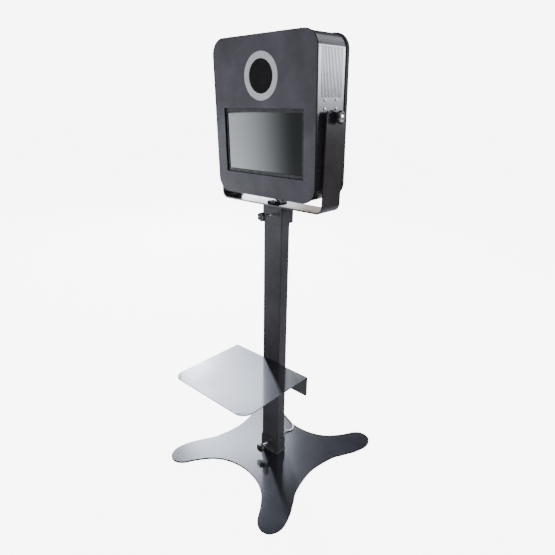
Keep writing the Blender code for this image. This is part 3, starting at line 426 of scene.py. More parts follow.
def turned(profile, axis, at, steps=48, into=None):
    """A profile of (radius, distance along the axis) turned about it."""
    shape = bmesh.new()
    rows = []
    for radius, along in profile:
        ring = circle(radius, steps) if radius > 0 else [(0.0, 0.0)]
        rows.append([shape.verts.new(flat_point(axis, u, v, along) + Vector(at)) for u, v in ring])
    pairs = list(zip(rows, rows[1:]))
    if profile[0][0] > 0:
        pairs.append((rows[-1], rows[0]))
    for low, high in pairs:
        for k in range(steps):
            after = (k + 1) % steps
            corners = [low[k % len(low)], low[after % len(low)], high[after % len(high)], high[k % len(high)]]
            shape.faces.new(list(dict.fromkeys(corners)))
    bmesh.ops.recalc_face_normals(shape, faces=shape.faces[:])
    return joined(into, shape)


def lofted(rings, into=None, caps=True):
    """A skin over rings with as many points each, closed at both ends unless caps is off."""
    shape = bmesh.new()
    rows = [[shape.verts.new(point) for point in ring] for ring in rings]
    for low, high in zip(rows, rows[1:]):
        for k in range(len(low)):
            after = (k + 1) % len(low)
            shape.faces.new((low[k], low[after], high[after], high[k]))
    if caps:
        shape.faces.new(rows[0])
        shape.faces.new(rows[-1])
    bmesh.ops.recalc_face_normals(shape, faces=shape.faces[:])
    return joined(into, shape)


SHARP_ANGLE = 35
WELD_WITHIN = 0.01


def close_seam(shape):
    """Joins the last ring of a closed loft to its first one."""
    bmesh.ops.remove_doubles(shape, verts=shape.verts[:], dist=WELD_WITHIN)


def piece(name, shape, look, body, place=None, angle=SHARP_ANGLE, bevel=0.0):
    """An object from a shape in millimetres, riding on a body, with which it leans."""
    shape.transform(Matrix.Scale(MM, 4))
    if body in LEANING:
        shape.transform(HEAD_MATRIX)
    if place is not None:
        shape.transform(place)
    mesh = bpy.data.meshes.new(name)
    shape.to_mesh(mesh)
    shape.free()
    mesh.materials.append(look)
    mesh.shade_smooth()
    mesh.set_sharp_from_angle(angle=math.radians(angle))
    made = placed(name, mesh)
    if bevel:
        add_bevel(made, bevel)
    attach(made, body)
    return made


def add_bevel(target, width):
    """Rounds the edges by a width in millimetres, after a weld, which keeps the bevel whole."""
    weld = target.modifiers.new("weld", "WELD")
    weld.merge_threshold = WELD_WITHIN * MM
    modifier = target.modifiers.new("edge_round", "BEVEL")
    modifier.width = width * MM
    modifier.segments = 2
    modifier.limit_method = "ANGLE"
    modifier.angle_limit = math.radians(SHARP_ANGLE)
    modifier.use_clamp_overlap = True
    modifier.harden_normals = True


# ---------------- mains lead
CORD_RADIUS = 3 * MM
# The route, the coil, the plug and the straps are in millimetres.
CORD_ROUTE = ((-20, 32, 92), (-20, 48, 92), (-20.3, 61.5, 89.5), (-21.5, 73, 82), (-23.5, 81, 70.5),
              (-25.5, 85.5, 57), (-27, 89, 43.5), (-27.2, 94, 31.5), (-25, 101, 21.5), (-20.5, 109, 15),
              (-14.5, 117.5, 12), (-9.8, 127.5, 11.3), (-8.5, 139, 11.3), (-12, 150.5, 11.3),
              (-20, 160, 11.3), (-30, 167, 11.3), (-42, 172.5, 11.3), (-54, 177.5, 11.3), (-67, 182, 11.3),
              (-80, 186.5, 11.3), (-93, 191, 11.3), (-107, 195.5, 11.3))
TAIL_ROUTE = ((-152, 199.8, 23.3), (-162, 201.3, 22.2), (-168.5, 203.6, 20.2), (-174.5, 207.2, 18),
              (-180, 212.1, 16.4), (-185, 217.6, 15.8))
COIL_CENTRE = (-138, 158)
# Radius and height of each turn of the coil, in the order it was wound.
COIL_TURNS = ((41, 11.3), (35, 11.3), (29, 11.3), (29.5, 17.4), (35.5, 17.4), (41, 17.4), (41, 23.5))
COIL_START = math.radians(78)
COIL_STEPS = 24
PATH_STEPS = 4


def coil_place(angle, radius, height):
    return (COIL_CENTRE[0] + radius * math.cos(angle), COIL_CENTRE[1] + radius * math.sin(angle), height)


def coil_points():
    """Points of the coil's turns. Each turn slides to the next one's place over its last third."""
    points = []
    for number, (radius, height) in enumerate(COIL_TURNS):
        last = number == len(COIL_TURNS) - 1
        after = (radius, height) if last else COIL_TURNS[number + 1]
        for step in range(COIL_STEPS):
            part = step / COIL_STEPS
            slide = max(0.0, (part - 2 / 3) * 3)
            slide = slide * slide * (3 - 2 * slide)
            angle = COIL_START + 2 * math.pi * part
            reach = radius + (after[0] - radius) * slide
            points.append(coil_place(angle, reach, height + (after[1] - height) * slide))
    for step in (0, 1):
        angle = COIL_START + 2 * math.pi * step / COIL_STEPS
        points.append(coil_place(angle, *COIL_TURNS[-1]))
    return points


def smooth_path(points):
    """Points on a Catmull-Rom curve through the given ones."""
    path = []
    ends = [2 * points[0] - points[1]] + points + [2 * points[-1] - points[-2]]
    for k in range(1, len(ends) - 2):
        before, start, end, after = ends[k - 1:k + 3]
        for step in range(PATH_STEPS):
            share = step / PATH_STEPS
            along = (end - before) * share
            bend = (2 * before - 5 * start + 4 * end - after) * share * share
            twist = (3 * start - before - 3 * end + after) * share ** 3
            path.append(start + (along + bend + twist) / 2)
    path.append(points[-1])
    return path


def make_cord():
    points = [Vector(point) * MM for point in CORD_ROUTE + tuple(coil_points()) + TAIL_ROUTE]
    path = smooth_path(points)
    curve = bpy.data.curves.new("mains_lead", "CURVE")
    curve.dimensions = "3D"
    curve.bevel_depth = CORD_RADIUS
    curve.bevel_resolution = 3
    curve.use_fill_caps = True
    spline = curve.splines.new("POLY")
    spline.points.add(len(path) - 1)
    for point, place in zip(spline.points, path):
        point.co = (*place, 1)
    curve.materials.append(WHITE)
    lead = placed("mains_lead", curve)
    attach(lead, "stand")
    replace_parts(lead, "power_cord", "cord_coil", "cord_tail")
    plug = make_plug()
    tie = make_tie()


PLUG_AT = Vector((-185.4, 218.1, 15.8)) * MM
PLUG_TURN = math.radians(42)
# Distance from the lead, width and height of the grip.
PLUG_GRIP = ((0, 7.6, 7.6), (1.5, 9, 8.6), (3, 10.6, 9.6), (8, 12.4, 11), (12, 15, 12.2), (16, 19, 13.4),
             (20, 22.6, 14.2), (24, 24.4, 14.5), (30, 25, 14.5), (35, 25, 14.5), (37.4, 24.2, 13.7),
             (38, 22.5, 12.4))
PLUG_RIBS = 5
# Radius and distance from the lead.
PIN_SLEEVE = ((0, 36), (1.9, 36), (1.9, 46.5), (1.8, 47), (0, 47))
PIN = ((0, 46), (2.1, 46), (2.2, 46.4), (2.2, 54), (1.9, 55.2), (1.2, 55.9), (0, 56))
PIN_SPACING = 19


def make_plug():
    """Moulded plug with a waisted grip, ribs and two sleeved pins."""
    rings = []
    for along, wide, tall in PLUG_GRIP:
        rings.append([(x, along, z) for x, z in rounded_rect(wide, tall, 0.42 * tall, steps=6)])
    shape = lofted(rings)
    for k in range(PLUG_RIBS):
        along = 4.2 + 2.1 * k
        wide = 11.4 + 0.55 * k
        tall = 9.8 + 0.45 * k
        rib = [rounded_rect(wide + 1, tall, 4, steps=6), rounded_rect(wide - 2.4, tall - 3.2, 3, steps=6)]
        prism(rib, "Y", along, along + 1, shape)
    place = Matrix.Translation(PLUG_AT) @ Matrix.Rotation(PLUG_TURN, 4, "Z")
    body = piece("plug_body", shape, WHITE, "stand", place)
    pins = None
    sleeves = None
    for side in (-1, 1):
        at = (side * PIN_SPACING / 2, 0, 0)
        sleeves = turned(PIN_SLEEVE, "Y", at, 20, sleeves)
        pins = turned(PIN, "Y", at, 20, pins)
    sleeve_piece = piece("plug_pin_sleeves", sleeves, PLASTIC, "stand", place)
    pin_piece = piece("plug_pins", pins, CHROME, "stand", place)
    for extra in (sleeve_piece, pin_piece):
        extra.parent = body
    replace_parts(body, "mains_plug")
    return body


# Radius and height of the middle of the coil's turns.
COIL_MIDDLE = (35, 17.4)
TIE_ANGLES = (math.radians(205), math.radians(335))


def make_tie():
    """Two hook-and-loop straps round the coil, on the side away from where the lead comes in."""
    shape = None
    for angle in TIE_ANGLES:
        centre = Vector(coil_place(angle, *COIL_MIDDLE))
        outward = Vector((math.cos(angle), math.sin(angle), 0))
        along = Vector((-math.sin(angle), math.cos(angle), 0))
        outer = rounded_rect(19.6, 18.3, 4, steps=5)
        inner = rounded_rect(18.2, 17.1, 3.4, steps=5)
        rings = []
        for loop, side in ((inner, -6), (outer, -6), (outer, 6), (inner, 6), (inner, -6)):
            rings.append([centre + outward * u + Vector((0, 0, v)) + along * side for u, v in loop])
        shape = lofted(rings, shape, caps=False)
    close_seam(shape)
    return piece("lead_tie", shape, RUBBER, "stand")


make_cord()


# ---------------- CAD nodes that stay
# Material, and width of the rounded edges in millimetres.
STAYING = {
    "base_plate": (COAT["base"], 0.8),
    "base_socket": (COAT["column"], 0.5),
    "column": (COAT["column"], 0.0),
    "shelf": (COAT["shelf"], 0.5),
    "top_collar": (COAT["column"], 0.6),
    "yoke": (COAT["yoke"], 0.6),
    "front_panel": (COAT["front"], 0.8),
    "shell_band": (COAT["shell"], 0.3),
    "rear_frame": (COAT["rear"], 0.8),
    "rear_door": (COAT["rear"], 0.6),
    "front_seal": (RUBBER, 0.3),
    "friction_disc": (RUBBER, 0.3),
    "ring_diffuser": (OPAL, 0.4),
    "led_ring_board": (BOARD, 0.1),
    "camera_window": (WINDOW, 0.2),
    "screen_bezel": (BEZEL, 0.3),
    "touch_glass": (SCREEN, 0.2),
    "display_module": (SHEET, 0.4),
    "display_bracket": (SHEET, 0.3),
    "camera_shelf": (SHEET, 0.3),
    "camera_tray": (PLASTIC, 0.5),
    "camera_body": (PLASTIC, 1.2),
    "camera_screw": (PLASTIC, 0.3),
    "lens_barrel": (PLASTIC, 0.3),
    "front_lens": (LENS, 0.0),
    "hinge_frame_leaf": (ZINC, 0.2),
    "hinge_door_leaf": (ZINC, 0.2),
    "door_lock": (CHROME, 0.2),
    "switch_body": (PLASTIC, 0.3),
    "switch_rocker": (KNOB, 0.3),
    "tilt_spacer_left": (PLASTIC, 0.4),
    "tilt_spacer_right": (PLASTIC, 0.4),
    "control_computer": (PLASTIC, 1.0),
    "power_supply": (CASE, 0.5),
    "fan_housing": (PLASTIC, 0.4),
    "fan_rotor": (PLASTIC, 0.2),
}


def dress_nodes():
    for name, (look, width) in STAYING.items():
        node = NODES[name]
        node.data.materials.clear()
        node.data.materials.append(look)
        if width:
            add_bevel(node, width)


dress_nodes()


# ---------------- hand knobs and fasteners, in millimetres
KNOB_LOBES = 5
KNOB_POINTS = 120
# Distance from the knob's near end and radius.
KNOB_HUB = ((9, 3.4), (0, 3.4), (0, 6.6), (0.5, 7.1), (4, 7.9))
# Distance from the knob's near end, then mean radius and depth of the lobes as shares of the knob's width.
KNOB_GRIP = ((5, 0.3, 0.02), (5.6, 0.385, 0.04), (6.6, 0.425, 0.05), (8, 0.443, 0.055), (16, 0.443, 0.055),
             (17.8, 0.437, 0.053), (19.1, 0.415, 0.049), (19.8, 0.38, 0.042), (20, 0.34, 0.025),
             (19.7, 0.28, 0), (19.3, 0.24, 0))
# Radius as a share of the knob's width, and distance from the knob's near end.
KNOB_CAP = ((0, 19), (0.22, 19), (0.22, 19.8), (0.2, 20.4), (0.15, 20.8), (0.08, 21), (0, 21.05))
# Radius, and distance behind the knob as a share of the ferrule's length.
FERRULE = ((3.1, 1), (5.4, 1), (6.5, 0.96), (6.5, 0.62), (5.6, 0.59), (3.8, 0.59), (3.8, 0.46), (5.6, 0.46),
           (6.5, 0.43), (6.5, 0.07), (5.6, 0.01), (3.1, 0.01))
STUD_RADIUS = 3
STUD_PITCH = 1.25
STUD_IN_KNOB = 8.5
# Width of the knob and length of the ferrule.
COLUMN_KNOBS = (("base_clamp", 36, 38), ("collar_clamp", 33, 18))
TILT_KNOB_WIDTH = 40
# Radius and height of the head, and radius of the shank.
SHELF_SCREW = (5.5, 4.2, 2.9)
SIDE_SCREW = (4.2, 2.4, 1.9)
HINGE_SCREW = (3, 1.3, 1.4)
TERMINAL_SCREW = (3.2, 1.6, 1.5)
FAN_SCREW = (3.2, 1.8, 1.5)
NUT_APOTHEM = 8.49
GLAND_SLEEVE = 26
GLAND_RIBS = 7


def even(radius):
    return lambda angle: radius


def hexagon(apothem):
    return lambda angle: apothem / math.cos(angle % (math.pi / 3) - math.pi / 6)


def lobed(mean, lobe):
    """Broad lobes with narrow dips between them."""
    return lambda angle: mean + lobe * (math.cos(KNOB_LOBES * angle)
                                        - 0.18 * math.cos(2 * KNOB_LOBES * angle) + 0.18)


def ring_across(axis, depth, radius_at, at, count):
    """One ring across an axis. radius_at gives the radius at an angle."""
    ring = []
    for k in range(count):
        angle = 2 * math.pi * k / count
        reach = radius_at(angle)
        point = flat_point(axis, reach * math.cos(angle), reach * math.sin(angle), depth)
        ring.append(point + Vector(at))
    return ring


def threaded(axis, radius, pitch, low, high, at, into=None):
    """A rod with a helical thread."""
    rings = []
    rows = round(4 * abs(high - low) / pitch)
    for row in range(rows + 1):
        depth = low + (high - low) * row / rows

        def crest(angle, depth=depth):
            phase = (depth / pitch - angle / (2 * math.pi)) % 1
            return radius - 0.45 * pitch * abs(2 * phase - 1)

        rings.append(ring_across(axis, depth, crest, at, 20))
    return lofted(rings, into)


def make_hand_knob(name, axis, side, start, stud_end, at, width, body, ferrule=0, cap=KNOB):
    """A lobed knob with a cap in its end, and its threaded stud, with a ferrule of a given length.

    The knob reaches from start towards side, and the stud the other way to stud_end.
    """
    outlines = [(along, even(radius)) for along, radius in KNOB_HUB]
    outlines += [(along, lobed(mean * width, lobe * width)) for along, mean, lobe in KNOB_GRIP]
    rings = [ring_across(axis, start + side * along, outline, at, KNOB_POINTS) for along, outline in outlines]
    grip = piece(f"{name}_grip", lofted(rings), KNOB, body)
    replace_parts(grip, f"{name}_knob")
    dome = [(share * width, start + side * along) for share, along in KNOB_CAP]
    lid = piece(f"{name}_cap", turned(dome, axis, at), cap, body)
    shape = threaded(axis, STUD_RADIUS, STUD_PITCH, stud_end, start + side * STUD_IN_KNOB, at)
    if ferrule:
        profile = [(radius, start - side * along * ferrule) for radius, along in FERRULE]
        turned(profile, axis, at, 40, shape)
    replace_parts(piece(f"{name}_thread", shape, CHROME, body), f"{name}_stud")


def socket_screw(axis, side, seat, at, size, deep, into=None):
    """A button-head screw with a hexagon socket, reaching deep below its seat."""
    head, tall, shank = size
    key = hexagon(0.3 * head)
    rows = ((-deep, even(shank)), (0, even(shank)), (0, even(head)), (0.45 * tall, even(head)),
            (0.78 * tall, even(0.9 * head)), (0.95 * tall, even(0.7 * head)), (tall, even(0.52 * head)),
            (tall, key), (0.45 * tall, key))
    return lofted([ring_across(axis, seat + side * along, radius, at, 36) for along, radius in rows], into)


def edge(node, axis, end, upright=False):
    """One end of a node's box along an axis, in millimetres."""
    return upright_box(node)[end][axis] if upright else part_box(node)[end][axis] / MM


def middle(node, upright=False):
    """Middle of a node's box, in millimetres."""
    if upright:
        return sum(upright_box(node), Vector()) / 2
    low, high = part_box(node)
    return (Vector(low) + Vector(high)) / (2 * MM)


def make_hand_knobs():
    for name, width, ferrule in COLUMN_KNOBS:
        start = edge(f"{name}_knob", 1, 1)
        stud_end = edge(f"{name}_stud", 1, 1)
        at = (0, 0, middle(f"{name}_knob").z)
        body = name.replace("clamp", "hand_screw")
        make_hand_knob(name, "Y", -1, start, stud_end, at, width, body, ferrule=ferrule)
    for name, side in (("left", -1), ("right", 1)):
        inner = 0 if side > 0 else 1
        start = edge(f"tilt_{name}_knob", 0, inner, True)
        stud_end = edge(f"tilt_{name}_stud", 0, inner, True)
        at = (0, 0, TILT_PIVOT.z / MM)
        make_hand_knob(f"tilt_{name}", "X", side, start, stud_end, at, TILT_KNOB_WIDTH,
                       f"{name}_hand_screw", cap=CHROME)


def make_screws():
    for row in ("upper", "lower"):
        for side in ("left", "right"):
            node = f"shelf_screw_{row}_{side}"
            place = middle(node)
            seat = edge(node, 1, 0) + SHELF_SCREW[1]
            shape = socket_screw("Y", -1, seat, (place.x, 0, place.z), SHELF_SCREW, 9)
            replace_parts(piece(f"{node}_head", shape, ZINC, "stand"), node)
    mirrored = None
    for number in (1, 2, 3, 4):
        node = f"side_screw_{number}"
        place = middle(node, True)
        seat = edge(node, 0, 1, True) - 2.3
        at = (0, place.y, place.z)
        shape = socket_screw("X", 1, seat, at, SIDE_SCREW, 8)
        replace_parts(piece(f"{node}_head", shape, ZINC, "head"), node)
        mirrored = socket_screw("X", -1, -seat, at, SIDE_SCREW, 2, mirrored)
    piece("left_side_screws", mirrored, ZINC, "head")


def make_pan_clamp():
    """Chamfered nut on the threaded end of the pan bolt."""
    at = (0, 0, 0)
    low, high = edge("pan_nut", 2, 0), edge("pan_nut", 2, 1)
    flats = hexagon(NUT_APOTHEM)
    rows = ((low, 5.4, 0), (low, 8.4, 0), (low + 0.6, 9.1, 1), (low + 1.1, 20, 1), (high - 1.1, 20, 1),
            (high - 0.6, 9.1, 1), (high, 8.4, 0), (high, 5.4, 0), (low, 5.4, 0))
    rings = []
    for height, limit, cut in rows:
        def outline(angle, limit=limit, cut=cut):
            return min(limit, flats(angle)) if cut else limit

        rings.append(ring_across("Z", height, outline, at, 72))
    shape = lofted(rings, caps=False)
    close_seam(shape)
    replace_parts(piece("pan_nut_chamfered", shape, ZINC, "yoke", angle=25), "pan_nut")
    bottom, top = edge("pan_bolt", 2, 0), edge("pan_bolt", 2, 1)
    head = [ring_across("Z", bottom + along, radius, at, 48) for along, radius in
            ((0, even(8.2)), (0.6, even(9)), (6, even(9)), (6, even(4.9)), (low - bottom, even(4.9)))]
    shape = threaded("Z", 5, 1.5, low, top, at, lofted(head))
    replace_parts(piece("pan_bolt_threaded", shape, ZINC, "yoke"), "pan_bolt")


def make_gland():
    """Strain relief: a collar against the wall and a tapered, ribbed sleeve."""
    near, tip = edge("cord_gland", 1, 0), edge("cord_gland", 1, 1)
    place = middle("cord_gland")
    wall = tip - GLAND_SLEEVE
    profile = [(3.3, near), (8, near), (8, near + 1.6), (5.8, near + 1.7), (5.8, wall + 0.3),
               (8.6, wall + 0.3), (9, wall + 0.8), (8.9, wall + 2.6), (8.2, wall + 3.2), (6.8, wall + 4),
               (6.3, wall + 5)]
    for rib in range(GLAND_RIBS):
        start = wall + 5.4 + 2.75 * rib
        outer = 6.3 - 1.6 * rib / (GLAND_RIBS - 1)
        inner = outer - 0.9
        profile += [(outer, start), (outer, start + 1.5), (inner, start + 1.8), (inner, start + 2.5)]
    profile += [(4.4, tip - 0.6), (4, tip), (3.3, tip)]
    shape = turned(profile, "Y", (place.x, 0, place.z), 40)
    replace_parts(piece("cord_gland_ribbed", shape, WHITE, "stand"), "cord_gland")


def make_weld():
    """Painted weld bead where the socket sleeve stands on the base plate."""
    low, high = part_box("base_socket")
    size = (Vector(high) - Vector(low)) / MM
    centre = (Vector(high) + Vector(low)) / (2 * MM)
    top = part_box("base_plate")[1][2] / MM
    rings = []
    for grow, height in ((0.2, 0.3), (6, 0.3), (5.2, 1.4), (2.8, 3), (0.8, 3.8), (0.2, 3.9), (0.2, 0.3)):
        loop = rounded_rect(size.x + grow, size.y + grow, 5, centre.x, centre.y)
        rings.append([(x, y, top + height) for x, y in loop])
    shape = lofted(rings, caps=False)
    close_seam(shape)
    piece("socket_weld", shape, WELD, "stand", angle=60)


make_hand_knobs()
make_screws()
make_pan_clamp()
make_gland()
make_weld()


# ---------------- rear door and its hinge
# Number of hoods, their pitch, half their length, and height of the lowest above the door's middle.
LOUVRES = 7
LOUVRE_PITCH = 11
LOUVRE_HALF = 70
LOUVRE_LOWEST = 110


def make_louvres():
    """A pressed hood over each slot of the door."""
    low, high = upright_box("rear_door")
    face = high.y
    lowest = (low.z + high.z) / 2 + LOUVRE_LOWEST
    section = []
    for deep, tall, order in ((3.4, 6.2, range(7)), (2.6, 5.4, range(6, -1, -1))):
        for step in order:
            angle = math.radians(15 * step)
            section.append((deep * math.cos(angle), 0.4 + tall * math.sin(angle)))
    shape = None
    for k in range(LOUVRES):
        start = lowest + k * LOUVRE_PITCH
        rings = []
        for x, grow in ((-LOUVRE_HALF - 2, 0.04), (-LOUVRE_HALF + 1, 0.7), (-LOUVRE_HALF + 4, 1),
                        (LOUVRE_HALF - 4, 1), (LOUVRE_HALF - 1, 0.7), (LOUVRE_HALF + 2, 0.04)):
            rings.append([(x, face + 0.05 + deep * grow, start + tall) for deep, tall in section])
        shape = lofted(rings, shape)
    piece("door_louvres", shape, COAT["rear"], "door", angle=50)


def make_hinge_screws():
    """Two rows of small screws, one in the frame's leaf and one in the door's."""
    for node, body in (("hinge_frame_leaf", "head"), ("hinge_door_leaf", "door")):
        low, high = upright_box(node)
        knuckle = 3.4 if node == "hinge_frame_leaf" else -3.4
        across = (low.x + high.x) / 2 - knuckle / 2
        centre = (low.z + high.z) / 2
        face = upright_box("rear_frame")[1].y + 1.8
        shape = None
        for height in (-130, -45, 45, 130):
            shape = socket_screw("Y", 1, face, (across, 0, centre + height), HINGE_SCREW, 1, shape)
        piece(f"{node}_screws", shape, ZINC, body)


# ---------------- camera, its lens and what is on it
RIBS = 48
# Height of the camera's top deck above its foot.
CAMERA_DECK = 92


def make_zoom_ring():
    """Rubber ring with raised ribs between two plain bands."""
    low, high = upright_box("zoom_ring")
    near, far = low.y, high.y
    outer = (high.x - low.x) / 2
    at = (0, 0, (low.z + high.z) / 2)

    def ribbed(angle):
        return outer - 0.45 + 0.45 * math.tanh(3 * math.cos(RIBS * angle))

    bore, band, lip = even(31), even(outer - 0.5), even(outer - 0.9)
    rows = ((near, bore), (near, lip), (near + 0.5, band), (near + 2, band), (near + 2.4, ribbed),
            (far - 2.4, ribbed), (far - 2, band), (far - 0.5, band), (far, lip), (far, bore), (near, bore))
    shape = lofted([ring_across("Y", depth, radius, at, 6 * RIBS) for depth, radius in rows], caps=False)
    close_seam(shape)
    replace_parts(piece("zoom_ring_ribbed", shape, RUBBER, "zoom", angle=50), "zoom_ring")


def make_camera_details():
    """Dials, release button, accessory shoe and rear screen."""
    low, high = upright_box("camera_body")
    deck = low.z + CAMERA_DECK
    top = high.z
    back = high.y
    centre = back - 23
    shape = None
    for at, radius, tall, ribs in (((44, centre, 0), 9.5, 6, 30), ((27, centre - 9, 0), 6, 3.5, 24)):
        def knurled(angle, radius=radius, ribs=ribs):
            return radius - 0.25 + 0.25 * math.cos(ribs * angle)

        rows = ((deck - 1, even(radius)), (deck + 0.6, even(radius)), (deck + 0.9, knurled),
                (deck + tall - 0.7, knurled), (deck + tall, even(radius - 1)))
        shape = lofted([ring_across("Z", depth, reach, at, 4 * ribs) for depth, reach in rows], shape)
    button = [(0, deck - 9), (7, deck - 9), (7, deck - 7), (5, deck - 6.4), (4.6, deck - 5.6), (0, deck - 5)]
    turned(button, "Z", (-52, centre - 20, 0), 40, shape)
    piece("camera_dials", shape, PLASTIC, "camera")
    shoe = None
    for side in (-1, 1):
        wall = sorted((side * 9.3, side * 10.3))
        lip = sorted((side * 6.5, side * 10.3))
        for x, z in ((wall, (top, top + 2.6)), (lip, (top + 2.6, top + 3.4))):
            outline = [(x[0], z[0]), (x[1], z[0]), (x[1], z[1]), (x[0], z[1])]
            shoe = prism([outline], "Y", centre - 9, centre + 9, shoe)
    piece("accessory_shoe", shoe, CHROME, "camera")
    outer = rounded_rect(76, 54, 3, 4, deck - 45)
    inner = rounded_rect(68, 46, 1, 4, deck - 45)
    shape = prism([outer, inner], "Y", back, back + 1.8)
    piece("camera_screen_frame", shape, PLASTIC, "camera")
    shape = prism([inner], "Y", back, back + 1.2)
    piece("camera_screen", shape, SCREEN, "camera")


# ---------------- electronics
COMPUTER_FINS = 15
# Height above the computer's foot, width and height of each socket.
COMPUTER_SOCKETS = ((18, 13, 6), (34, 13, 6), (52, 15, 5), (72, 16, 13), (94, 16, 13), (112, 9, 9))
BOARD_PARTS = 36
BOARD_PARTS_RADIUS = 62.5


def make_computer_details():
    """Cooling fins on the back, and a row of metal sockets on one side."""
    low, high = upright_box("control_computer")
    shape = None
    for k in range(COMPUTER_FINS):
        x = low.x + 8 + (high.x - low.x - 16) * k / (COMPUTER_FINS - 1)
        shape = block((x - 0.9, high.y - 0.5, low.z + 9), (x + 0.9, high.y + 5, high.z - 9), shape)
    fins_piece = piece("computer_fins", shape, PLASTIC, "head", bevel=0.4)
    shape = None
    for height, wide, tall in COMPUTER_SOCKETS:
        centre = ((low.y + high.y) / 2, low.z + height)
        outer = rounded_rect(wide, tall, 0.8, *centre, steps=3)
        inner = rounded_rect(wide - 1, tall - 1, 0.5, *centre, steps=3)
        shape = prism([outer, inner], "X", high.x - 0.5, high.x + 0.7, shape)
    piece("computer_sockets", shape, ZINC, "head")


def make_supply_details():
    """Perforated cover on the power supply, and a terminal strip at one end."""
    low, high = upright_box("power_supply")
    centre = (low + high) / 2
    outline = rounded_rect(high.x - low.x - 6, high.y - low.y - 4, 1, centre.x, centre.y, steps=3)
    holes = []
    for k in range(13):
        for row in (-15, 0, 15):
            holes.append(rounded_rect(3.4, 11, 1.6, low.x + 13 + 7 * k, centre.y + row, steps=3))
    shape = prism([outline] + holes, "Z", high.z, high.z + 0.8)
    piece("supply_cover", shape, CASE, "head")
    strip = None
    screws = None
    for k in range(5):
        y = low.y + 8 + 10 * k
        strip = block((low.x - 11, y - 0.6, low.z + 4), (low.x - 0.2, y + 0.6, low.z + 17), strip)
        if k < 4:
            at = (low.x - 6, y + 5, 0)
            screws = socket_screw("Z", 1, low.z + 11, at, TERMINAL_SCREW, 2, screws)
    strip = block((low.x - 11, low.y + 7, low.z + 2), (low.x - 0.2, low.y + 49, low.z + 10.8), strip)
    piece("supply_terminals", strip, PLASTIC, "head")
    piece("supply_terminal_screws", screws, ZINC, "head")


def make_board_parts():
    """Resistors and a plug socket on the back of the ring light's board."""
    low, high = upright_box("led_ring_board")
    back = high.y
    centre = (low.z + high.z) / 2
    shape = None
    for k in range(BOARD_PARTS):
        angle = 2 * math.pi * k / BOARD_PARTS
        outline = []
        for u, v in rounded_rect(3.2, 1.6, 0.2, BOARD_PARTS_RADIUS, steps=2):
            outline.append((u * math.cos(angle) - v * math.sin(angle),
                            centre + u * math.sin(angle) + v * math.cos(angle)))
        shape = prism([outline], "Y", back, back + 0.6, shape)
    shape = block((-6, back, centre - 68), (6, back + 5, centre - 57), shape)
    piece("board_parts", shape, PLASTIC, "head")


def make_fan_screws():
    """One screw in each corner of the fan's housing."""
    low, high = upright_box("fan_housing")
    shape = None
    for y in (low.y + 5, high.y - 5):
        for z in (low.z + 5, high.z - 5):
            shape = socket_screw("X", -1, low.x, (0, y, z), FAN_SCREW, 4, shape)
    piece("fan_screws", shape, ZINC, "head")


make_louvres()
make_hinge_screws()
make_zoom_ring()
make_camera_details()
make_computer_details()
make_supply_details()
make_board_parts()
make_fan_screws()


# ---------------- stage and light
FLOOR_EXTENT = 40.0
# Brightness of the sky overhead. The backdrop and the floor's glow are seen by the camera only.
OVERHEAD = 2.4
BACKDROP = 7.5
FLOOR_GLOW = 7.0
WINDOW_HEIGHT = 3.2


def stage_look():
    made = Shader("pale_floor", (0.42, 0.42, 0.42), 0.85)
    made.colour(made.blended(made.cloud(3.0, 3.0), (0.4, 0.4, 0.4), (0.44, 0.44, 0.44)))
    made.set("Emission Color", (1, 1, 1, 1))
    glow = made.node("ShaderNodeMath", operation="MULTIPLY")
    glow.inputs[1].default_value = FLOOR_GLOW
    made.link(made.node("ShaderNodeLightPath").outputs["Is Camera Ray"], glow.inputs[0])
    made.link(glow.outputs["Value"], made.main.inputs["Emission Strength"])
    return made.material


def make_stage():
    shape = bmesh.new()
    corners = [(-1, -1), (1, -1), (1, 1), (-1, 1)]
    shape.faces.new([shape.verts.new((x * FLOOR_EXTENT, y * FLOOR_EXTENT, 0)) for x, y in corners])
    mesh = bpy.data.meshes.new("floor")
    shape.to_mesh(mesh)
    shape.free()
    mesh.materials.append(stage_look())
    floor = placed("floor", mesh)


def shade_panel(data, across, up):
    """Brightness of a panel along its width and height, each as (position, brightness) stops."""
    data.use_nodes = True
    tree = data.node_tree
    add, link = tree.nodes.new, tree.links.new
    place = add("ShaderNodeNewGeometry")
    split = add("ShaderNodeSeparateXYZ")
    product = add("ShaderNodeMath")
    product.operation = "MULTIPLY"
    link(place.outputs["Parametric"], split.inputs["Vector"])
    for number, (axis, stops) in enumerate((("X", across), ("Y", up))):
        ramp = add("ShaderNodeValToRGB")
        ramp.color_ramp.interpolation = "EASE"
        for k, (position, tone) in enumerate(stops):
            marks = ramp.color_ramp.elements
            mark = marks[k] if k < 2 else marks.new(position)
            mark.position = position
            mark.color = (tone, tone, tone, 1)
        link(split.outputs[axis], ramp.inputs["Fac"])
        link(ramp.outputs["Color"], product.inputs[number])
    link(product.outputs["Value"], tree.nodes["Emission"].inputs["Strength"])


def panel_light(name, at, target, size, radiance, colour):
    """A soft panel of a given size and brightness that faces a target."""
    data = bpy.data.lights.new(name, "AREA")
    data.shape = "RECTANGLE"
    data.size, data.size_y = size
    data.energy = radiance * math.pi * size[0] * size[1]
    data.color = colour
    light = placed(name, data)
    light.location = at
    direction = Vector(target) - Vector(at)
    light.rotation_euler = direction.to_track_quat("-Z", "Y").to_euler()
    light.visible_camera = False
    return data


def around(bearing, distance, height):
    """A place at a bearing in degrees from +Y towards -X, as seen from the column."""
    turn = math.radians(bearing)
    return Vector((-distance * math.sin(turn), distance * math.cos(turn), height))


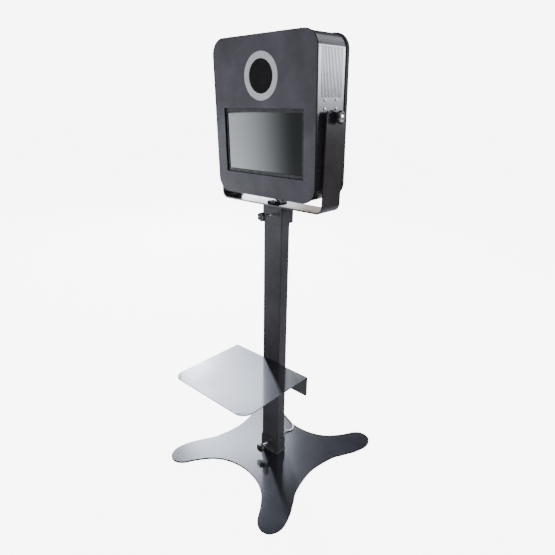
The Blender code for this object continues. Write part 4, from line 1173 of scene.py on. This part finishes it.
def make_world():
    """Bright overhead, dim at half height, pale at the horizon. The camera sees one plain pale tone."""
    world = bpy.data.worlds.new("studio")
    world.use_nodes = True
    tree = world.node_tree
    add, link = tree.nodes.new, tree.links.new
    sky = tree.nodes["Background"]
    place = add("ShaderNodeTexCoord")
    split = add("ShaderNodeSeparateXYZ")
    ramp = add("ShaderNodeValToRGB")
    link(place.outputs["Generated"], split.inputs["Vector"])
    link(split.outputs["Z"], ramp.inputs["Fac"])
    stops = ramp.color_ramp.elements
    stops[0].position = 0.12
    stops[0].color = (0.18, 0.18, 0.18, 1)
    stops[1].position = 0.4
    stops[1].color = (0.04, 0.04, 0.042, 1)
    for position, tone in ((0.88, 0.04), (0.95, 1.0)):
        stops.new(position).color = (tone, tone, tone, 1)
    sky.inputs["Strength"].default_value = OVERHEAD
    link(ramp.outputs["Color"], sky.inputs["Color"])
    plain = add("ShaderNodeBackground")
    plain.inputs["Color"].default_value = (1, 1, 1, 1)
    plain.inputs["Strength"].default_value = BACKDROP
    rays = add("ShaderNodeLightPath")
    choice = add("ShaderNodeMixShader")
    link(rays.outputs["Is Camera Ray"], choice.inputs["Fac"])
    link(sky.outputs["Background"], choice.inputs[1])
    link(plain.outputs["Background"], choice.inputs[2])
    link(choice.outputs["Shader"], tree.nodes["World Output"].inputs["Surface"])
    bpy.context.scene.world = world


def make_light():
    """Panels named for what they stand for: a window behind, smaller ones at the sides, and soft sky."""
    make_world()
    high = WINDOW_HEIGHT
    window = panel_light("window_back", around(47.5, 4.5, high), (0, 0, high), (2.1, 3.6), 21,
                         (0.8, 0.87, 1.0))
    shade_panel(window, ((0.08, 0.0), (0.16, 0.3), (0.24, 0.45), (0.3, 1.0), (0.8, 1.0), (1.0, 0.0)),
                ((0.05, 0.6), (0.3, 0.22), (0.42, 0.3), (0.58, 0.7), (0.68, 1.0), (0.8, 0.6), (1.0, 0.0)))
    panel_light("sky_left", around(57, 5.0, 2.85), (0, 0, 0.4), (0.3, 0.4), 1250, (0.8, 0.86, 1.0))
    right = panel_light("window_right", (1.93, 2.46, 2.08), (0.2, 0, 1.77), (1.3, 1.3), 24, (0.88, 0.91, 1.0))
    shade_panel(right, ((0.0, 1.0), (0.5, 0.85), (1.0, 1.0)),
                ((0.0, 0.25), (0.13, 0.42), (0.27, 0.9), (0.54, 1.0), (0.72, 0.3), (1.0, 0.06)))
    left = panel_light("window_left", (-2.2, -2.1, 0.74), (0, 0, 1.1), (1.5, 0.9), 12.5, (0.88, 0.95, 1.0))
    shade_panel(left, ((0.4, 1.0), (0.85, 0.03)), ((0.0, 1.0), (1.0, 0.8)))
    panel_light("sky_back", (1.5, 3.7, 4.5), (0.2, 0, 1.55), (3.4, 1.6), 1.8, (0.9, 0.93, 1.0))
    panel_light("warm_right", around(35, 4.4, 2.0), (0, 0, 1.07), (0.7, 0.8), 2.2, (1.0, 0.82, 0.7))
    panel_light("soft_front", (1.6, -2.6, 3.0), (0, 0, 0.9), (2.2, 1.6), 4.2, (1, 0.97, 0.98))


make_stage()
make_light()
